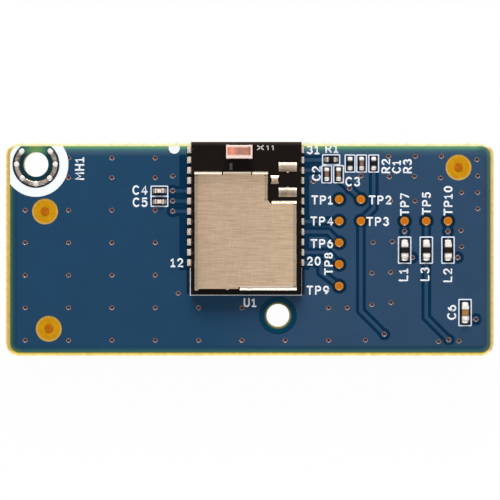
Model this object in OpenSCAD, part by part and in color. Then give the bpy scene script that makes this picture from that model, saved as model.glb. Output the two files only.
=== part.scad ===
// Radio daughter card: a circuit card with a shielded radio module, chip parts and test pads on top,
// and a pin header for its host underneath.
// Millimetres. The datum is the axis of the mounting hole at the underside of the laminate:
// +X along the card, +Y towards the antenna edge, +Z towards the component side.

/* [Card] */
// Length of the card along X
card_length = 57.2; // [57:0.1:75]
// Width of the card along Y
card_width = 25.1; // [25:0.1:35]
// Thickness of the bare laminate
core_thickness = 1.5; // [0.8:0.1:3]
// Radius of the card's corners
corner_radius = 1.6; // [1.3:0.1:2.6]
// Mounting hole axis to the left edge
hole_from_left = 3.6; // [3.3:0.1:6]
// Mounting hole axis to the antenna edge
hole_from_top = 2.6; // [2.4:0.1:4]
// Diameter of the mounting hole
mounting_hole_d = 2.9; // [2.2:0.1:3.4]
// Diameter of the locating hole
locating_hole_d = 2.7; // [2:0.1:3.4]
// Locating hole axis below the radio module
locating_gap = 2.5; // [2.2:0.1:3]
// Locating hole axis to the module's left edge
locating_shift = 10.15; // [9.8:0.05:10.5]
// Height that the break-off nibs stand out of the left edge
nib_height = 0.1; // [0.05:0.01:0.2]

/* [Foil and mask] */
// Thickness of the copper foil
foil_thickness = 0.04; // [0.02:0.005:0.1]
// Bare border between the foil and the card's edge
foil_inset = 1.2; // [0.8:0.1:2]
// Shift of the foil along the card
foil_shift = 0.18; // [0:0.01:0.25]
// Bare border between the mask and the card's edge
mask_inset = 0.47; // [0.2:0.01:0.7]
// Shift of the printed mask along the card
mask_shift = 0.1; // [0:0.01:0.15]
// Thickness of the mask over the foil
mask_thickness = 0.035; // [0.025:0.005:0.06]
// Depth that the mask sinks between foil edges
mask_dip = 0.02; // [0.005:0.005:0.02]
// Gap between a land and its mask window
window_gap = 0.05; // [0.02:0.01:0.1]
// Thickness of the gold finish on a bare pad
finish_thickness = 0.02; // [0.01:0.005:0.05]
// Height that a tinned land stands above the mask
land_lift = 0.03; // [0.01:0.005:0.08]
// Width of a trace
trace_width = 0.4; // [0.2:0.05:0.5]
// Gap between a trace or pad and the ground pour
trace_gap = 0.38; // [0.2:0.02:0.5]

/* [Vias and pads] */
// Diameter of a via's drilled hole in the laminate
via_drill_d = 0.4; // [0.3:0.02:0.5]
// Wall of the plated via barrel
via_wall = 0.04; // [0.02:0.01:0.08]
// Depth of the resin plug below the face of the laminate, inside a via
plug_depth = 0.12; // [0.05:0.01:0.3]
// Diameter of a via's land
via_land_d = 0.66; // [0.56:0.02:0.9]
// Diameter of a test pad
test_pad_d = 1; // [0.8:0.05:1.5]
// Pitch of the test pads
test_pitch = 2.54; // [2:0.01:3]
// Diameter of a fiducial dot
fiducial_d = 1; // [0.6:0.1:1.5]
// Diameter of the mask window round a fiducial dot
fiducial_window_d = 3.05; // [2:0.05:3.4]
// Inner diameter of the mounting ring land
ring_inner_d = 3.9; // [3.7:0.05:4.2]
// Outer diameter of the mounting ring land
ring_outer_d = 5.15; // [5:0.05:5.3]
// Diameter of a solder dot on the mounting ring
ring_dot_d = 0.6; // [0.4:0.05:0.7]
// Height of a solder dot on the mounting ring
ring_dot_height = 0.14; // [0.05:0.01:0.2]

/* [Legend] */
// Width of a printed frame line
legend_line = 0.14; // [0.1:0.02:0.25]
// Thickness of the printed ink
ink_thickness = 0.02; // [0.01:0.005:0.04]
// Outer diameter of the printed ring round the mounting hole
legend_ring_d = 7.6; // [6.2:0.1:9]
// Radius of the printed dot at the first land
first_dot_r = 0.65; // [0.4:0.05:0.8]

/* [Radio module] */
// Width of the module board
module_width = 12.9; // [12:0.1:14]
// Length of the module board
module_length = 17.8; // [17:0.1:19]
// Thickness of the module board
module_thickness = 0.8; // [0.4:0.1:1.2]
// Mounting hole axis to the module's left edge
module_from_hole = 18.2; // [17.5:0.1:19]
// Pitch of the module's lands
land_pitch = 1.2; // [1:0.05:1.25]
// Width of a module land
land_width = 0.75; // [0.5:0.05:0.8]
// First land to the antenna edge of the module
first_land = 0.9; // [0.6:0.05:1.2]
// Length of a land outside the left edge of the module
left_toe = 0.48; // [0.3:0.02:0.7]
// Length of a land outside the right edge of the module
right_toe = 0.3; // [0.24:0.02:0.7]
// Diameter of a plated half hole in the module's edge
castellation_d = 0.4; // [0.3:0.05:0.6]
// Thickness of the plating in a half hole
castellation_wall = 0.05; // [0.03:0.01:0.08]

/* [Shield can] */
// Thickness of the can's sheet
sheet_thickness = 0.2; // [0.1:0.05:0.3]
// Height of the can above the module board
can_height = 1.5; // [1.3:0.1:2.5]
// Outside radius of the can's bends
bend_radius = 0.45; // [0.4:0.05:0.6]
// Can to the left edge of the module
can_from_left = 0.4; // [0.3:0.05:0.6]
// Can to the right edge of the module
can_from_right = 0.6; // [0.3:0.05:0.8]
// Can to the antenna edge of the module
can_from_top = 3.45; // [3:0.05:4]
// Can to the bottom edge of the module
can_from_bottom = 0.45; // [0.3:0.05:0.6]
// Width of the can's corner step
step_width = 3.35; // [3.3:0.05:4]
// Length of the can's corner step
step_length = 3.4; // [3.3:0.05:3.5]

/* [Antenna and coax lands] */
// Length of the chip antenna
antenna_length = 3.05; // [2:0.05:4]
// Width of the chip antenna
antenna_width = 1.6; // [0.8:0.1:1.8]
// Height of the chip antenna
antenna_height = 1.2; // [0.5:0.1:1.6]
// Length of an antenna end
antenna_end = 0.4; // [0.2:0.05:0.5]
// Length of a coax ground land
coax_land_length = 2.1; // [1.8:0.1:2.2]
// Width of a coax ground land
coax_land_width = 1.05; // [0.9:0.05:1.2]
// Distance between the coax ground lands
coax_pitch = 2.96; // [2.8:0.02:3]
// Height of the solder dome on a coax land
coax_dome = 0.15; // [0.05:0.01:0.25]

/* [Chip parts] */
// Length of a small chip
small_length = 1; // [0.9:0.05:1.2]
// Width of a small chip
small_width = 0.5; // [0.4:0.05:0.6]
// Length of a small chip's plated end
small_end = 0.25; // [0.15:0.05:0.3]
// Length of a land outside a small chip
small_toe = 0.3; // [0.2:0.05:0.35]
// Length of a large chip
large_length = 1.6; // [1.5:0.05:1.8]
// Width of a large chip
large_width = 0.8; // [0.7:0.05:0.9]
// Length of a large chip's plated end
large_end = 0.5; // [0.2:0.05:0.55]
// Length of a land outside a large chip
large_toe = 0.45; // [0.3:0.05:0.5]
// Height of a resistor
resistor_height = 0.38; // [0.38:0.02:0.5]
// Height of a small capacitor
capacitor_height = 0.5; // [0.4:0.05:0.6]
// Height of a large chip
large_height = 0.8; // [0.6:0.05:1]
// How far a chip's body lies inside its plated ends, on each side
end_step = 0.02; // [0.01:0.01:0.04]

/* [Host header] */
// Pitch of the header's pins
pin_pitch = 1.27; // [1.2:0.01:1.4]
// Side of a square pin
pin_side = 0.4; // [0.3:0.02:0.5]
// Length of a pin below the header body
pin_reach = 3; // [2:0.1:5]
// Height of the header body
header_height = 1.7; // [1:0.1:3]
// Width of the header body
header_width = 3.4; // [2.6:0.1:3.8]
// Reach of a pin's foot from the middle of the header
foot_reach = 2.75; // [2.5:0.05:3]
// Thickness of a pin's foot
foot_thickness = 0.25; // [0.15:0.05:0.4]
// Clearance round a pin in the header body
pin_clearance = 0.01; // [0.005:0.005:0.03]

/* [Hidden] */
$fn = 48;

// Edges of the card and of the radio module
card_left = -hole_from_left;
card_right = card_left + card_length;
card_top = hole_from_top;
card_bottom = card_top - card_width;
radio_left = module_from_hole;
radio_right = radio_left + module_width;
radio_top = card_top;
radio_bottom = radio_top - module_length;
locating_hole = [radio_left + locating_shift, radio_bottom - locating_gap];

// Levels of the stack
pad_thickness = foil_thickness + finish_thickness;
mask_high = foil_thickness + mask_thickness;
mask_low = mask_high - mask_dip;
land_thickness = mask_high + land_lift;
core_top = core_thickness;
land_top = core_top + land_thickness;
ink_bottom = core_top + mask_high;
module_top = land_top + module_thickness;

// Length that a cut runs past a face
cut_over = 1;

// Clear distances in the foil
hole_clear = 0.85;
ring_clear = 0.16;
ring_ends = [42, 138];
ring_end_trim = 0.06;
ring_band = (ring_outer_d - ring_inner_d) / 2;
dot_angles = concat(ring_ends, [180, 225, 270, 315, 360]);
ring_dot_r = (ring_inner_d + ring_outer_d) / 4;
via_hole_d = via_drill_d - 2 * via_wall;

// Break-off nibs along the left edge, measured down from the card's antenna edge
nib_places = [13, 13.8, 14.6];
nib_r = 0.3;

// Printed dot at the first land, measured from the module's corner, and the line round the module
first_dot = [2, 0.7];
pair_trim = 0.05;
outline_gap = 0.07;
outline_tuck = 0.06;
outline_line = 0.1;
outline_end = 0.2;

// Module lands: two side rows and a hidden bottom row
side_lands = 12;
bottom_lands = 7;
land_under = 0.7;
bottom_land_inset = 0.1;
land_rows = [for (k = [0:side_lands - 1]) radio_top - first_land - k * land_pitch];
strip_left = 1.4;
strip_right = 0.9;
strip_under = 1.1;
strip_end = 0.9;
antenna_keepout = 3.2;

// Shield can corners
can_left = radio_left + can_from_left;
can_right = radio_right - can_from_right;
can_top = radio_top - can_from_top;
can_bottom = radio_bottom + can_from_bottom;
step_x = can_right - step_width;
step_y = can_top - step_length;
corner_slit = 0.06;
step_relief = 0.45;
can_inner_bend = bend_radius - sheet_thickness;

// Flat stretches of the can's lid between its folded walls: a tongue at the top, a lip at the bottom
tongue_inset = 3.33;
tongue_width = 3.27;
tongue_back = 0.1;
tongue_left = can_left + tongue_inset;
tongue_right = tongue_left + tongue_width;
lip_length = 5.14;
lip_back = 0.2;
lip_end = can_left + lip_length;
lip_edge = can_bottom + lip_back;
lip_nib_inset = 3.85;
lip_nib_r = 0.25;
wall_gap = 0.15;

// Chip antenna and coax lands
antenna_inset = [5.62, -1.2];
antenna_place = [radio_left, radio_top] + antenna_inset;
feed_shift = [-0.97, -1.67];
feed_place = antenna_place + feed_shift;
feed_size = [0.35, 0.8];
coax_inset = [-1.62, -4.42];
coax_place = [radio_right, radio_top] + coax_inset;
coax_signal_size = [0.9, 0.98];
coax_signal_shift = 1.51;
coax_nub_r = 0.15;
coax_waist = 0.1;
coax_waist_r = 0.6;

// Parts under the can, placed from the can's lower left corner
radio_chip_side = 7;
radio_chip_height = 0.85;
radio_chip_corner = 0.1;
radio_chip_inset = [6.4, 4.6];
radio_chip_place = [can_left, can_bottom] + radio_chip_inset;
crystal_size = [2, 1.6, 0.5];
crystal_corner = 0.2;
crystal_inset = [2.2, 10.6];
crystal_place = [can_left, can_bottom] + crystal_inset;
inner_chip_size = [1, 0.5, 0.5];
inner_chips = [
    [4.2, 9.6], [5.6, 9.6], [7, 9.6], [4.2, 11.4], [5.6, 11.4],
    [1.6, 3], [1.6, 4.4], [1.6, 5.8]
];

// Chip kinds: length, width, height, plated end, land toe, frame gap, body colour
frame_gap_small = 0.13;
frame_gap_large = 0.21;
frame_gap_side = 0.19;
function small_chip(height, colour) =
    [small_length, small_width, height, small_end, small_toe, frame_gap_small, colour];
function large_chip(colour) =
    [large_length, large_width, large_height, large_end, large_toe, frame_gap_large, colour];
small_resistor = small_chip(resistor_height, "#221e1c");
small_capacitor = small_chip(capacitor_height, "#7a5a44");
pale_capacitor = small_chip(capacitor_height, "#c9b59a");
bead = large_chip("#3a2a24");
large_capacitor = large_chip("#a5763f");
land_side = 0.06;
chip_edge_r = 0.06;

// Solder fillets: share of the toe they cover, share of the wall they climb, share of the land's width
fillet_cover = 0.9;
fillet_climb = 0.8;
fillet_share = 0.8;
fillet_hollow = 1.25;

// Chip parts: name, kind, place, turn
pair_pitch = 1.27;
pair_inset = [-3.74, -5.7];
pair_place = [radio_left, radio_top] + pair_inset;
bead_drop = 12.65;
bead_row = card_top - bead_drop;
bead_from_right = 10.42;
bead_columns = [for (i = [0:2]) card_right - bead_from_right + i * test_pitch];
cluster = [radio_right, card_top];
cluster_shifts = [[3.47, -2.05], [2.96, -3.76], [4.34, -3.75], [5.69, -2.5], [7.04, -2.5], [8.46, -2.5]];
corner_chip_inset = [-3.34, 5.14];
CHIPS = [
    ["capacitor_1", pale_capacitor, pair_place, 0],
    ["capacitor_2", pale_capacitor, pair_place - [0, pair_pitch], 0],
    ["resistor_1", small_resistor, cluster + cluster_shifts[0], 0],
    ["capacitor_3", small_capacitor, cluster + cluster_shifts[1], 90],
    ["capacitor_4", small_capacitor, cluster + cluster_shifts[2], 90],
    ["resistor_2", small_resistor, cluster + cluster_shifts[3], 90],
    ["capacitor_5", small_capacitor, cluster + cluster_shifts[4], 90],
    ["resistor_3", small_resistor, cluster + cluster_shifts[5], 90],
    ["bead_1", bead, [bead_columns[0], bead_row], 90],
    ["bead_2", bead, [bead_columns[1], bead_row], 90],
    ["bead_3", bead, [bead_columns[2], bead_row], 90],
    ["capacitor_6", large_capacitor, [card_right, card_bottom] + corner_chip_inset, 90]
];
function chip_toe_end(kind) = kind[0] / 2 + kind[4];
function chip_land_mid(kind) = kind[0] / 2 + (kind[4] - kind[3]) / 2;

// Test pads: a column and two pads beside the module, and a row above the beads
test_from_module = 4.42;
test_drop = 6.7;
test_column = radio_right + test_from_module;
test_row_1 = card_top - test_drop;
test_row_2 = test_row_1 - test_pitch;
test_pads_at = concat(
    [for (i = [0:4]) [test_column, test_row_1 - i * test_pitch]],
    [for (i = [0:1]) [test_column + test_pitch, test_row_1 - i * test_pitch]],
    [for (x = bead_columns) [x, test_row_2]]
);

// Fiducial dots
fiducial_insets = [[4.66, -8.1], [5.1, 3.26], [-4.1, -2.94]];
fiducials = [
    [card_left, card_top] + fiducial_insets[0],
    [card_left, card_bottom] + fiducial_insets[1],
    [card_right, card_top] + fiducial_insets[2]
];

// Via grid, kept clear of holes, fiducials and the module
via_ring_gap = 0.9;
via_window_gap = 0.1;
via_pitch = [5.08, 3.81];
via_first = [-1.27, -1.56];
via_edge = 1.5;
via_top_drop = 1.87;
via_top_row = card_top - via_top_drop;
grid_past_module = 3.5;
grid_right = radio_right + grid_past_module;
grid_columns = [for (x = [via_first[0]:via_pitch[0]:grid_right]) x];
grid_rows = [for (y = [via_first[1]:-via_pitch[1]:card_bottom + via_edge]) y];
module_side_clear = 2;
module_end_clear = 1;
function far(p, q, d) = norm(p - q) > d;
function clear_of_holes(p) =
    far(p, [0, 0], ring_outer_d / 2 + via_ring_gap)
    && far(p, locating_hole, locating_hole_d / 2 + hole_clear + via_land_d / 2)
    && min([for (f = fiducials) norm(p - f)]) > (fiducial_window_d + via_land_d) / 2 + via_window_gap;
function clear_of_module(p) =
    p[0] < radio_left - module_side_clear || p[1] < radio_bottom - module_end_clear;
grid_vias = [
    for (x = grid_columns, y = concat([via_top_row], grid_rows))
        if (clear_of_holes([x, y]) && clear_of_module([x, y])) [x, y]
];

// Vias placed one by one: beside the module, among the chips, along the right and bottom edges
pair_via_gap = 2.18;
pair_vias = [for (k = [4:6]) [radio_left - pair_via_gap, land_rows[k]]];
left_via_insets = [[-2.18, -3.96], [-1.54, 0.1]];
left_vias = [[radio_left, card_top] + left_via_insets[0], [radio_left, radio_bottom] + left_via_insets[1]];
cluster_via_shift = [5.65, -5.42];
cluster_via = cluster + cluster_via_shift;
probe_via_inset = [9.7, 2.6];
probe_via = [radio_right, card_bottom] + probe_via_inset;
cluster_via_shifts = [
    [1.4, -4.6], [7, -3.95], [8.4, -11.75], [8.25, -15.35], [8.25, -19.05], [5.35, -19.4], [7.5, -23.2]
];
cluster_vias = [for (v = cluster_via_shifts) cluster + v];
edge_via_insets = [
    [12.3, 1.65], [12.2, 4.05], [12.05, 6.85], [11.85, 11.65], [12.05, 15.25], [12, 18.8],
    [9.15, 1.65], [9.25, 4], [9.2, 6.9], [6.1, 1.65], [6.2, 4.2], [1.95, 2.05], [1.85, 3.95],
    [1.85, 5.9], [1.85, 7.8], [3.75, 5.9], [3.8, 10.35], [3.75, 12.25]
];
edge_vias = [for (v = edge_via_insets) [card_right, card_top] - v];
bead_via_drop = 1.22;
bead_vias = [for (i = [0, 2]) [bead_columns[i], test_row_2 - bead_via_drop]];
bead_foot_shifts = [[0.9, -0.87], [1.15, -0.87]];
bead_foot_vias = [
    [bead_columns[0], bead_row] + bead_foot_shifts[0], [bead_columns[2], bead_row] + bead_foot_shifts[1]
];
bead_run_inset = [-5.25, 1.95];
bead_run_via = [card_right, card_bottom] + bead_run_inset;
foot_via_insets = [[-6.45, 1.75], [-4.05, 1.8]];
foot_vias = [for (v = foot_via_insets) [card_right, card_bottom] + v];
capacitor_via_inset = [-2.05, 4.35];
capacitor_via = [card_right, card_bottom] + capacitor_via_inset;
signal_vias = concat(
    pair_vias, bead_vias, bead_foot_vias, [cluster_via, probe_via, bead_run_via, capacitor_via]
);
VIAS = concat(grid_vias, left_vias, cluster_vias, edge_vias, foot_vias, signal_vias);

// Host header, placed from the lower right corner of the card
header_inset = [-6.8, 6.9];
header_place = [card_right, card_bottom] + header_inset;
header_columns = [-2:2];
header_rows = [-1, 1];
header_margin = 0.3;
header_length = len([for (c = header_columns) c]) * pin_pitch + header_margin;
header_land_width = 0.76;
header_land_toe = 0.4;
header_land_length = 2.4;
header_clear = 0.3;
header_top = -land_thickness - foot_thickness;
header_notch = 0.35;
pin_tip = 0.1;

// Traces: routes of points, each ending inside a land, pad or via
pad_left = radio_left - left_toe / 2;
pad_right = radio_right + right_toe / 2;
function chip_end(i, side) = CHIPS[i][2]
    + side * chip_land_mid(CHIPS[i][1]) * [cos(CHIPS[i][3]), sin(CHIPS[i][3])];
run_column = test_column + test_pitch;
bend_gaps = [1.3, 1.4];
bend_1 = test_column - bend_gaps[0];
bend_2 = test_column - bend_gaps[1];
long_bend = [2.3, 1.6];
bend_3 = [radio_right, test_pads_at[4][1]] + long_bend;
TRACES = concat(
    [for (i = [0:1]) [[pad_left, land_rows[4 + i]], pair_vias[i], chip_end(i, 1)]],
    [[[pad_left, land_rows[6]], pair_vias[2]]],
    [[[pad_right, land_rows[1]], chip_end(2, -1)]],
    [[[pad_right, land_rows[2]], chip_end(3, 1)]],
    [[[pad_right, land_rows[7]], test_pads_at[1]]],
    [[[pad_right, land_rows[8]], [bend_1, land_rows[8]], test_pads_at[2]]],
    [[[pad_right, land_rows[10]], [bend_2, land_rows[10]], test_pads_at[3]]],
    [[[pad_right, land_rows[11]], [bend_3[0], land_rows[11]], bend_3, test_pads_at[4]]],
    [[chip_end(4, -1), cluster_via, test_pads_at[5]]],
    [[chip_end(7, -1), [CHIPS[7][2][0], test_pads_at[6][1] + CHIPS[7][2][0] - run_column], test_pads_at[6],
        [run_column, probe_via[1] + probe_via[0] - run_column], probe_via]],
    [for (i = [0:2]) [test_pads_at[7 + i], chip_end(8 + i, 1)]],
    [[chip_end(8, -1), bead_foot_vias[0]]],
    [[chip_end(10, -1), bead_foot_vias[1]]],
    [[chip_end(9, -1), [bead_columns[1], bead_run_via[1] + bead_run_via[0] - bead_columns[1]],
        bead_run_via]],
    [[chip_end(11, -1), capacitor_via]]
);

// Traces on the underside, from vias to header lands
header_vias = concat(bead_foot_vias, [bead_run_via, probe_via, capacitor_via]);
function header_land(column, row) = header_place
    + [column * pin_pitch, row * (foot_reach + header_land_toe - header_land_length / 2)];
HEADER_TRACES = [
    [bead_foot_vias[0], header_land(-2, 1)],
    [bead_foot_vias[1], header_land(2, 1)],
    [bead_run_via, header_land(1, -1)],
    [probe_via, [probe_via[0] + header_land(-2, -1)[1] - probe_via[1], header_land(-2, -1)[1]],
        header_land(-2, -1)],
    [capacitor_via, [header_land(2, -1)[0], capacitor_via[1]]]
];

// Rectangle about the origin with round corners
module round_rect(size, r) {
    square([size[0] - 2 * r, size[1]], center = true);
    square([size[0], size[1] - 2 * r], center = true);
    for (x = [-1, 1], y = [-1, 1])
        translate([x * (size[0] / 2 - r), y * (size[1] / 2 - r)]) circle(r);
}

// Rectangle between two corners
module span(low, high) {
    translate(low) square(high - low);
}

// Line of a given width along points, with round ends
module stroke(points, width) {
    for (i = [0:len(points) - 2]) {
        run = points[i + 1] - points[i];
        translate(points[i]) rotate(atan2(run[1], run[0]))
            translate([0, -width / 2]) square([norm(run), width]);
    }
    for (p = points) translate(p) circle(d = width);
}

// Frame line of a rectangle about the origin
module frame(size, line) {
    difference() {
        round_rect(size, line);
        square(size - 2 * [line, line], center = true);
    }
}

// Circles of one diameter at a list of points
module dots(points, d) {
    for (p = points) translate(p) circle(d = d);
}

// Card outline, drawn in by a border
module card_outline(border) {
    translate([(card_left + card_right) / 2, (card_top + card_bottom) / 2])
        round_rect([card_length - 2 * border, card_width - 2 * border], max(corner_radius - border, 0.1));
}

// Ring round the mounting hole, open towards the antenna edge, with round ends
module ring_land(grow) {
    difference() {
        circle(d = ring_outer_d + 2 * grow);
        circle(d = ring_inner_d - 2 * grow);
        polygon([[0, 0], for (a = ring_ends) 2 * ring_outer_d * [cos(a), sin(a)]]);
    }
    for (a = ring_ends) rotate(a) translate([ring_dot_r, 0]) circle(d = ring_band - ring_end_trim + 2 * grow);
}

// Places its children on each chip
module at_chips() {
    for (c = CHIPS) {
        $kind = c[1];
        translate(c[2]) rotate(c[3]) children();
    }
}

module chip_land_pair(grow) {
    size = [$kind[4] + $kind[3], $kind[1] + 2 * land_side];
    for (side = [-1, 1])
        translate([side * chip_land_mid($kind), 0]) square(size + 2 * [grow, grow], center = true);
}

module module_land_shapes(grow) {
    half = land_width / 2 + grow;
    for (y = land_rows) {
        span([radio_left - left_toe - grow, y - half], [radio_left + land_under + grow, y + half]);
        span([radio_right - land_under - grow, y - half], [radio_right + right_toe + grow, y + half]);
    }
    for (k = [0:bottom_lands - 1]) {
        x = (radio_left + radio_right) / 2 + (k - (bottom_lands - 1) / 2) * land_pitch;
        y = radio_bottom + bottom_land_inset;
        span([x - half, y - grow], [x + half, y + land_under + grow]);
    }
}

module header_land_shapes(grow) {
    size = [header_land_width, header_land_length] + 2 * [grow, grow];
    for (c = header_columns, r = header_rows) translate(header_land(c, r)) square(size, center = true);
}

// Every bare land on the component side
module top_lands(grow) {
    ring_land(grow);
    dots(test_pads_at, test_pad_d + 2 * grow);
    at_chips() chip_land_pair(grow);
    module_land_shapes(grow);
}

// Where the ground pour on the component side stays clear
module top_clearances() {
    circle(d = ring_outer_d + 2 * ring_clear);
    translate(locating_hole) circle(d = locating_hole_d + 2 * hole_clear);
    dots(fiducials, fiducial_window_d);
    dots(test_pads_at, test_pad_d + 2 * trace_gap);
    dots(signal_vias, via_land_d + 2 * trace_gap);
    for (t = TRACES) stroke(t, trace_width + 2 * trace_gap);
    at_chips() square(chip_frame($kind) - 2 * [legend_line, legend_line], center = true);
    strip_low = land_rows[side_lands - 1] - strip_end;
    span([radio_left - strip_left, strip_low], [radio_left + strip_under, card_top]);
    span([radio_right - strip_under, strip_low], [radio_right + strip_right, card_top]);
    span([radio_left, radio_top - antenna_keepout], [radio_right, card_top]);
    span([radio_left + strip_under, radio_bottom], [radio_right - strip_under, radio_bottom + strip_under]);
}

// Outline of the ground foil
module foil_outline() {
    translate([foil_shift, 0]) card_outline(foil_inset);
}

module foil_top_shape() {
    difference() {
        union() {
            difference() {
                foil_outline();
                top_clearances();
            }
            for (t = TRACES) stroke(t, trace_width);
        }
        top_lands(0);
        dots(VIAS, via_land_d);
    }
}

module top_windows() {
    top_lands(window_gap);
    dots(VIAS, via_land_d);
    dots(fiducials, fiducial_window_d);
    circle(d = mounting_hole_d);
    translate(locating_hole) circle(d = locating_hole_d);
}

module foil_bottom_shape() {
    difference() {
        union() {
            difference() {
                foil_outline();
                circle(d = ring_outer_d + 2 * ring_clear);
                translate(locating_hole) circle(d = locating_hole_d + 2 * hole_clear);
                header_land_shapes(header_clear);
                dots(header_vias, via_land_d + 2 * trace_gap);
                for (t = HEADER_TRACES) stroke(t, trace_width + 2 * trace_gap);
            }
            for (t = HEADER_TRACES) stroke(t, trace_width);
        }
        ring_land(0);
        header_land_shapes(0);
        dots(VIAS, via_land_d);
    }
}

module bottom_windows() {
    ring_land(window_gap);
    header_land_shapes(window_gap);
    dots(VIAS, via_land_d);
    circle(d = mounting_hole_d);
    translate(locating_hole) circle(d = locating_hole_d);
}

// Outline of the mask
module mask_outline() {
    translate([mask_shift, 0]) card_outline(mask_inset);
}

// Films that follow the foil: lower where there is no foil
module mask_film(side) {
    linear_extrude(mask_low) difference() {
        mask_outline();
        foil_shape(side);
        mask_windows(side);
    }
    translate([0, 0, foil_thickness]) linear_extrude(mask_thickness) difference() {
        foil_shape(side);
        mask_windows(side);
    }
}

module foil_shape(side) {
    if (side == "top") foil_top_shape();
    else foil_bottom_shape();
}

module mask_windows(side) {
    if (side == "top") top_windows();
    else bottom_windows();
}

// Through hole in the laminate
module drill(place, d) {
    translate([place[0], place[1], -cut_over]) cylinder(h = core_thickness + 2 * cut_over, d = d);
}

// Layer of a shape on the component side, and on the underside
module on_top(thickness) {
    translate([0, 0, core_top]) linear_extrude(thickness) children();
}

module underneath(thickness) {
    translate([0, 0, -thickness]) linear_extrude(thickness) children();
}

module card_laminate() color("#cfb45a") difference() {
    union() {
        linear_extrude(core_thickness) card_outline(0);
        for (y = nib_places)
            translate([card_left + nib_r - nib_height, card_top - y, 0])
                cylinder(h = core_thickness, r = nib_r);
    }
    drill([0, 0], mounting_hole_d);
    drill(locating_hole, locating_hole_d);
    for (v = VIAS) drill(v, via_drill_d);
}

module foil_top() color("#b87333") on_top(foil_thickness) foil_top_shape();

module foil_bottom() color("#b87333") underneath(foil_thickness) foil_bottom_shape();

module mask_top() color("#264866") translate([0, 0, core_top]) mask_film("top");

module mask_bottom() color("#264866") mirror([0, 0, 1]) mask_film("bottom");

// Plated barrels with a flange on each face of the laminate
module plated_vias() color("#8a7a70") for (v = VIAS) translate([v[0], v[1], 0]) rotate_extrude() {
    span([via_hole_d / 2, -foil_thickness], [via_drill_d / 2, core_top + foil_thickness]);
    span([via_drill_d / 2, core_top], [via_land_d / 2, core_top + foil_thickness]);
    span([via_drill_d / 2, -foil_thickness], [via_land_d / 2, 0]);
}

// Resin plugs that close the vias
module via_plugs() color("#2a2430") translate([0, 0, plug_depth])
    linear_extrude(core_thickness - 2 * plug_depth) dots(VIAS, via_hole_d);

module test_pads() color("#de8a2a") on_top(pad_thickness) dots(test_pads_at, test_pad_d);

module fiducial_dots() color("#b8701e") on_top(pad_thickness) dots(fiducials, fiducial_d);

module mounting_lands() color("#b9b3ac") {
    on_top(land_thickness) ring_land(0);
    underneath(land_thickness) ring_land(0);
}

// Solder dots: caps of spheres that stand on the ring
module mounting_solder() color("#e6e4e0") {
    cap_r = (pow(ring_dot_d / 2, 2) + pow(ring_dot_height, 2)) / (2 * ring_dot_height);
    for (a = dot_angles) rotate(a) translate([ring_dot_r, 0, land_top]) intersection() {
        translate([0, 0, ring_dot_height - cap_r]) sphere(cap_r);
        cylinder(h = ring_dot_height, d = 2 * ring_dot_d);
    }
}

module module_lands() color("#c9c6bf") on_top(land_thickness) module_land_shapes(0);

module chip_lands() color("#c9c6bf") on_top(land_thickness) at_chips() chip_land_pair(0);

module header_lands() color("#c9c6bf") underneath(land_thickness) header_land_shapes(0);

// Printed frames, ring, first-land dot and module outline
module legend_shapes() {
    difference() {
        circle(d = legend_ring_d);
        circle(d = ring_outer_d + 2 * ring_clear);
    }
    translate([radio_left, card_top] - first_dot) circle(first_dot_r);
    at_single_chips() frame(chip_frame($kind), legend_line);
    translate(pair_place - [0, pair_pitch / 2]) {
        frame(chip_frame(pale_capacitor) + [-pair_trim, pair_pitch - pair_trim], legend_line);
        square([chip_frame(pale_capacitor)[0], legend_line], center = true);
    }
    module_outline();
}

module legend_ink() color("#f0f2ee") translate([0, 0, ink_bottom]) linear_extrude(ink_thickness)
    difference() {
        intersection() {
            legend_shapes();
            mask_outline();
        }
        top_lands(window_gap);
    }

function chip_frame(kind) = [
    2 * (chip_toe_end(kind) + kind[5] + legend_line),
    kind[1] + 2 * (land_side + frame_gap_side + legend_line)
];

// Places its children on each chip that has a frame of its own
module at_single_chips() {
    for (i = [2:len(CHIPS) - 1]) {
        $kind = CHIPS[i][1];
        translate(CHIPS[i][2]) rotate(CHIPS[i][3]) children();
    }
}

// Printed line round the lower end of the radio module
module module_outline() {
    top_end = land_rows[side_lands - 1] - land_width / 2 - outline_end;
    low = [radio_left - outline_gap, radio_bottom - outline_gap];
    high = [radio_right - outline_tuck, top_end];
    difference() {
        span(low - [outline_line, outline_line], high + [outline_line, 0]);
        span(low, high + [0, cut_over]);
    }
}

module castellations() {
    for (x = [radio_left, radio_right], y = land_rows) translate([x, y]) children();
}

module module_shape() {
    span([radio_left, radio_bottom], [radio_right, radio_top]);
}

module module_board() color("#1b1a1c") translate([0, 0, land_top]) linear_extrude(module_thickness)
    difference() {
        module_shape();
        castellations() circle(d = castellation_d);
    }

// Plated half holes in the module's edges
module module_castellations() color("#b08a4a") translate([0, 0, land_top]) linear_extrude(module_thickness)
    intersection() {
        module_shape();
        castellations() difference() {
            circle(d = castellation_d);
            circle(d = castellation_d - 2 * castellation_wall);
        }
    }

// Hollow solder fillet against a wall at x = 0, rising from the land
module fillet(leg, width) {
    reach = fillet_hollow * leg;
    rotate([90, 0, 0]) translate([0, 0, -width / 2]) linear_extrude(width) difference() {
        square(leg);
        translate([reach, reach]) circle(norm([reach - leg, reach]));
    }
}

module module_solder() color("#dedcd6") for (y = land_rows) {
    width = fillet_share * land_width;
    translate([radio_left, y, land_top]) mirror([1, 0, 0]) fillet(fillet_cover * left_toe, width);
    translate([radio_right, y, land_top]) fillet(fillet_cover * right_toe, width);
}

// Section of a folded wall: the bend and the leg, outer face at x = 0, top face at y = 0
module fold_section() {
    translate([-bend_radius, -bend_radius]) intersection() {
        difference() {
            circle(bend_radius);
            circle(can_inner_bend);
        }
        square(bend_radius);
    }
    translate([-sheet_thickness, -can_height]) square([sheet_thickness, can_height - bend_radius]);
}

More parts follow.
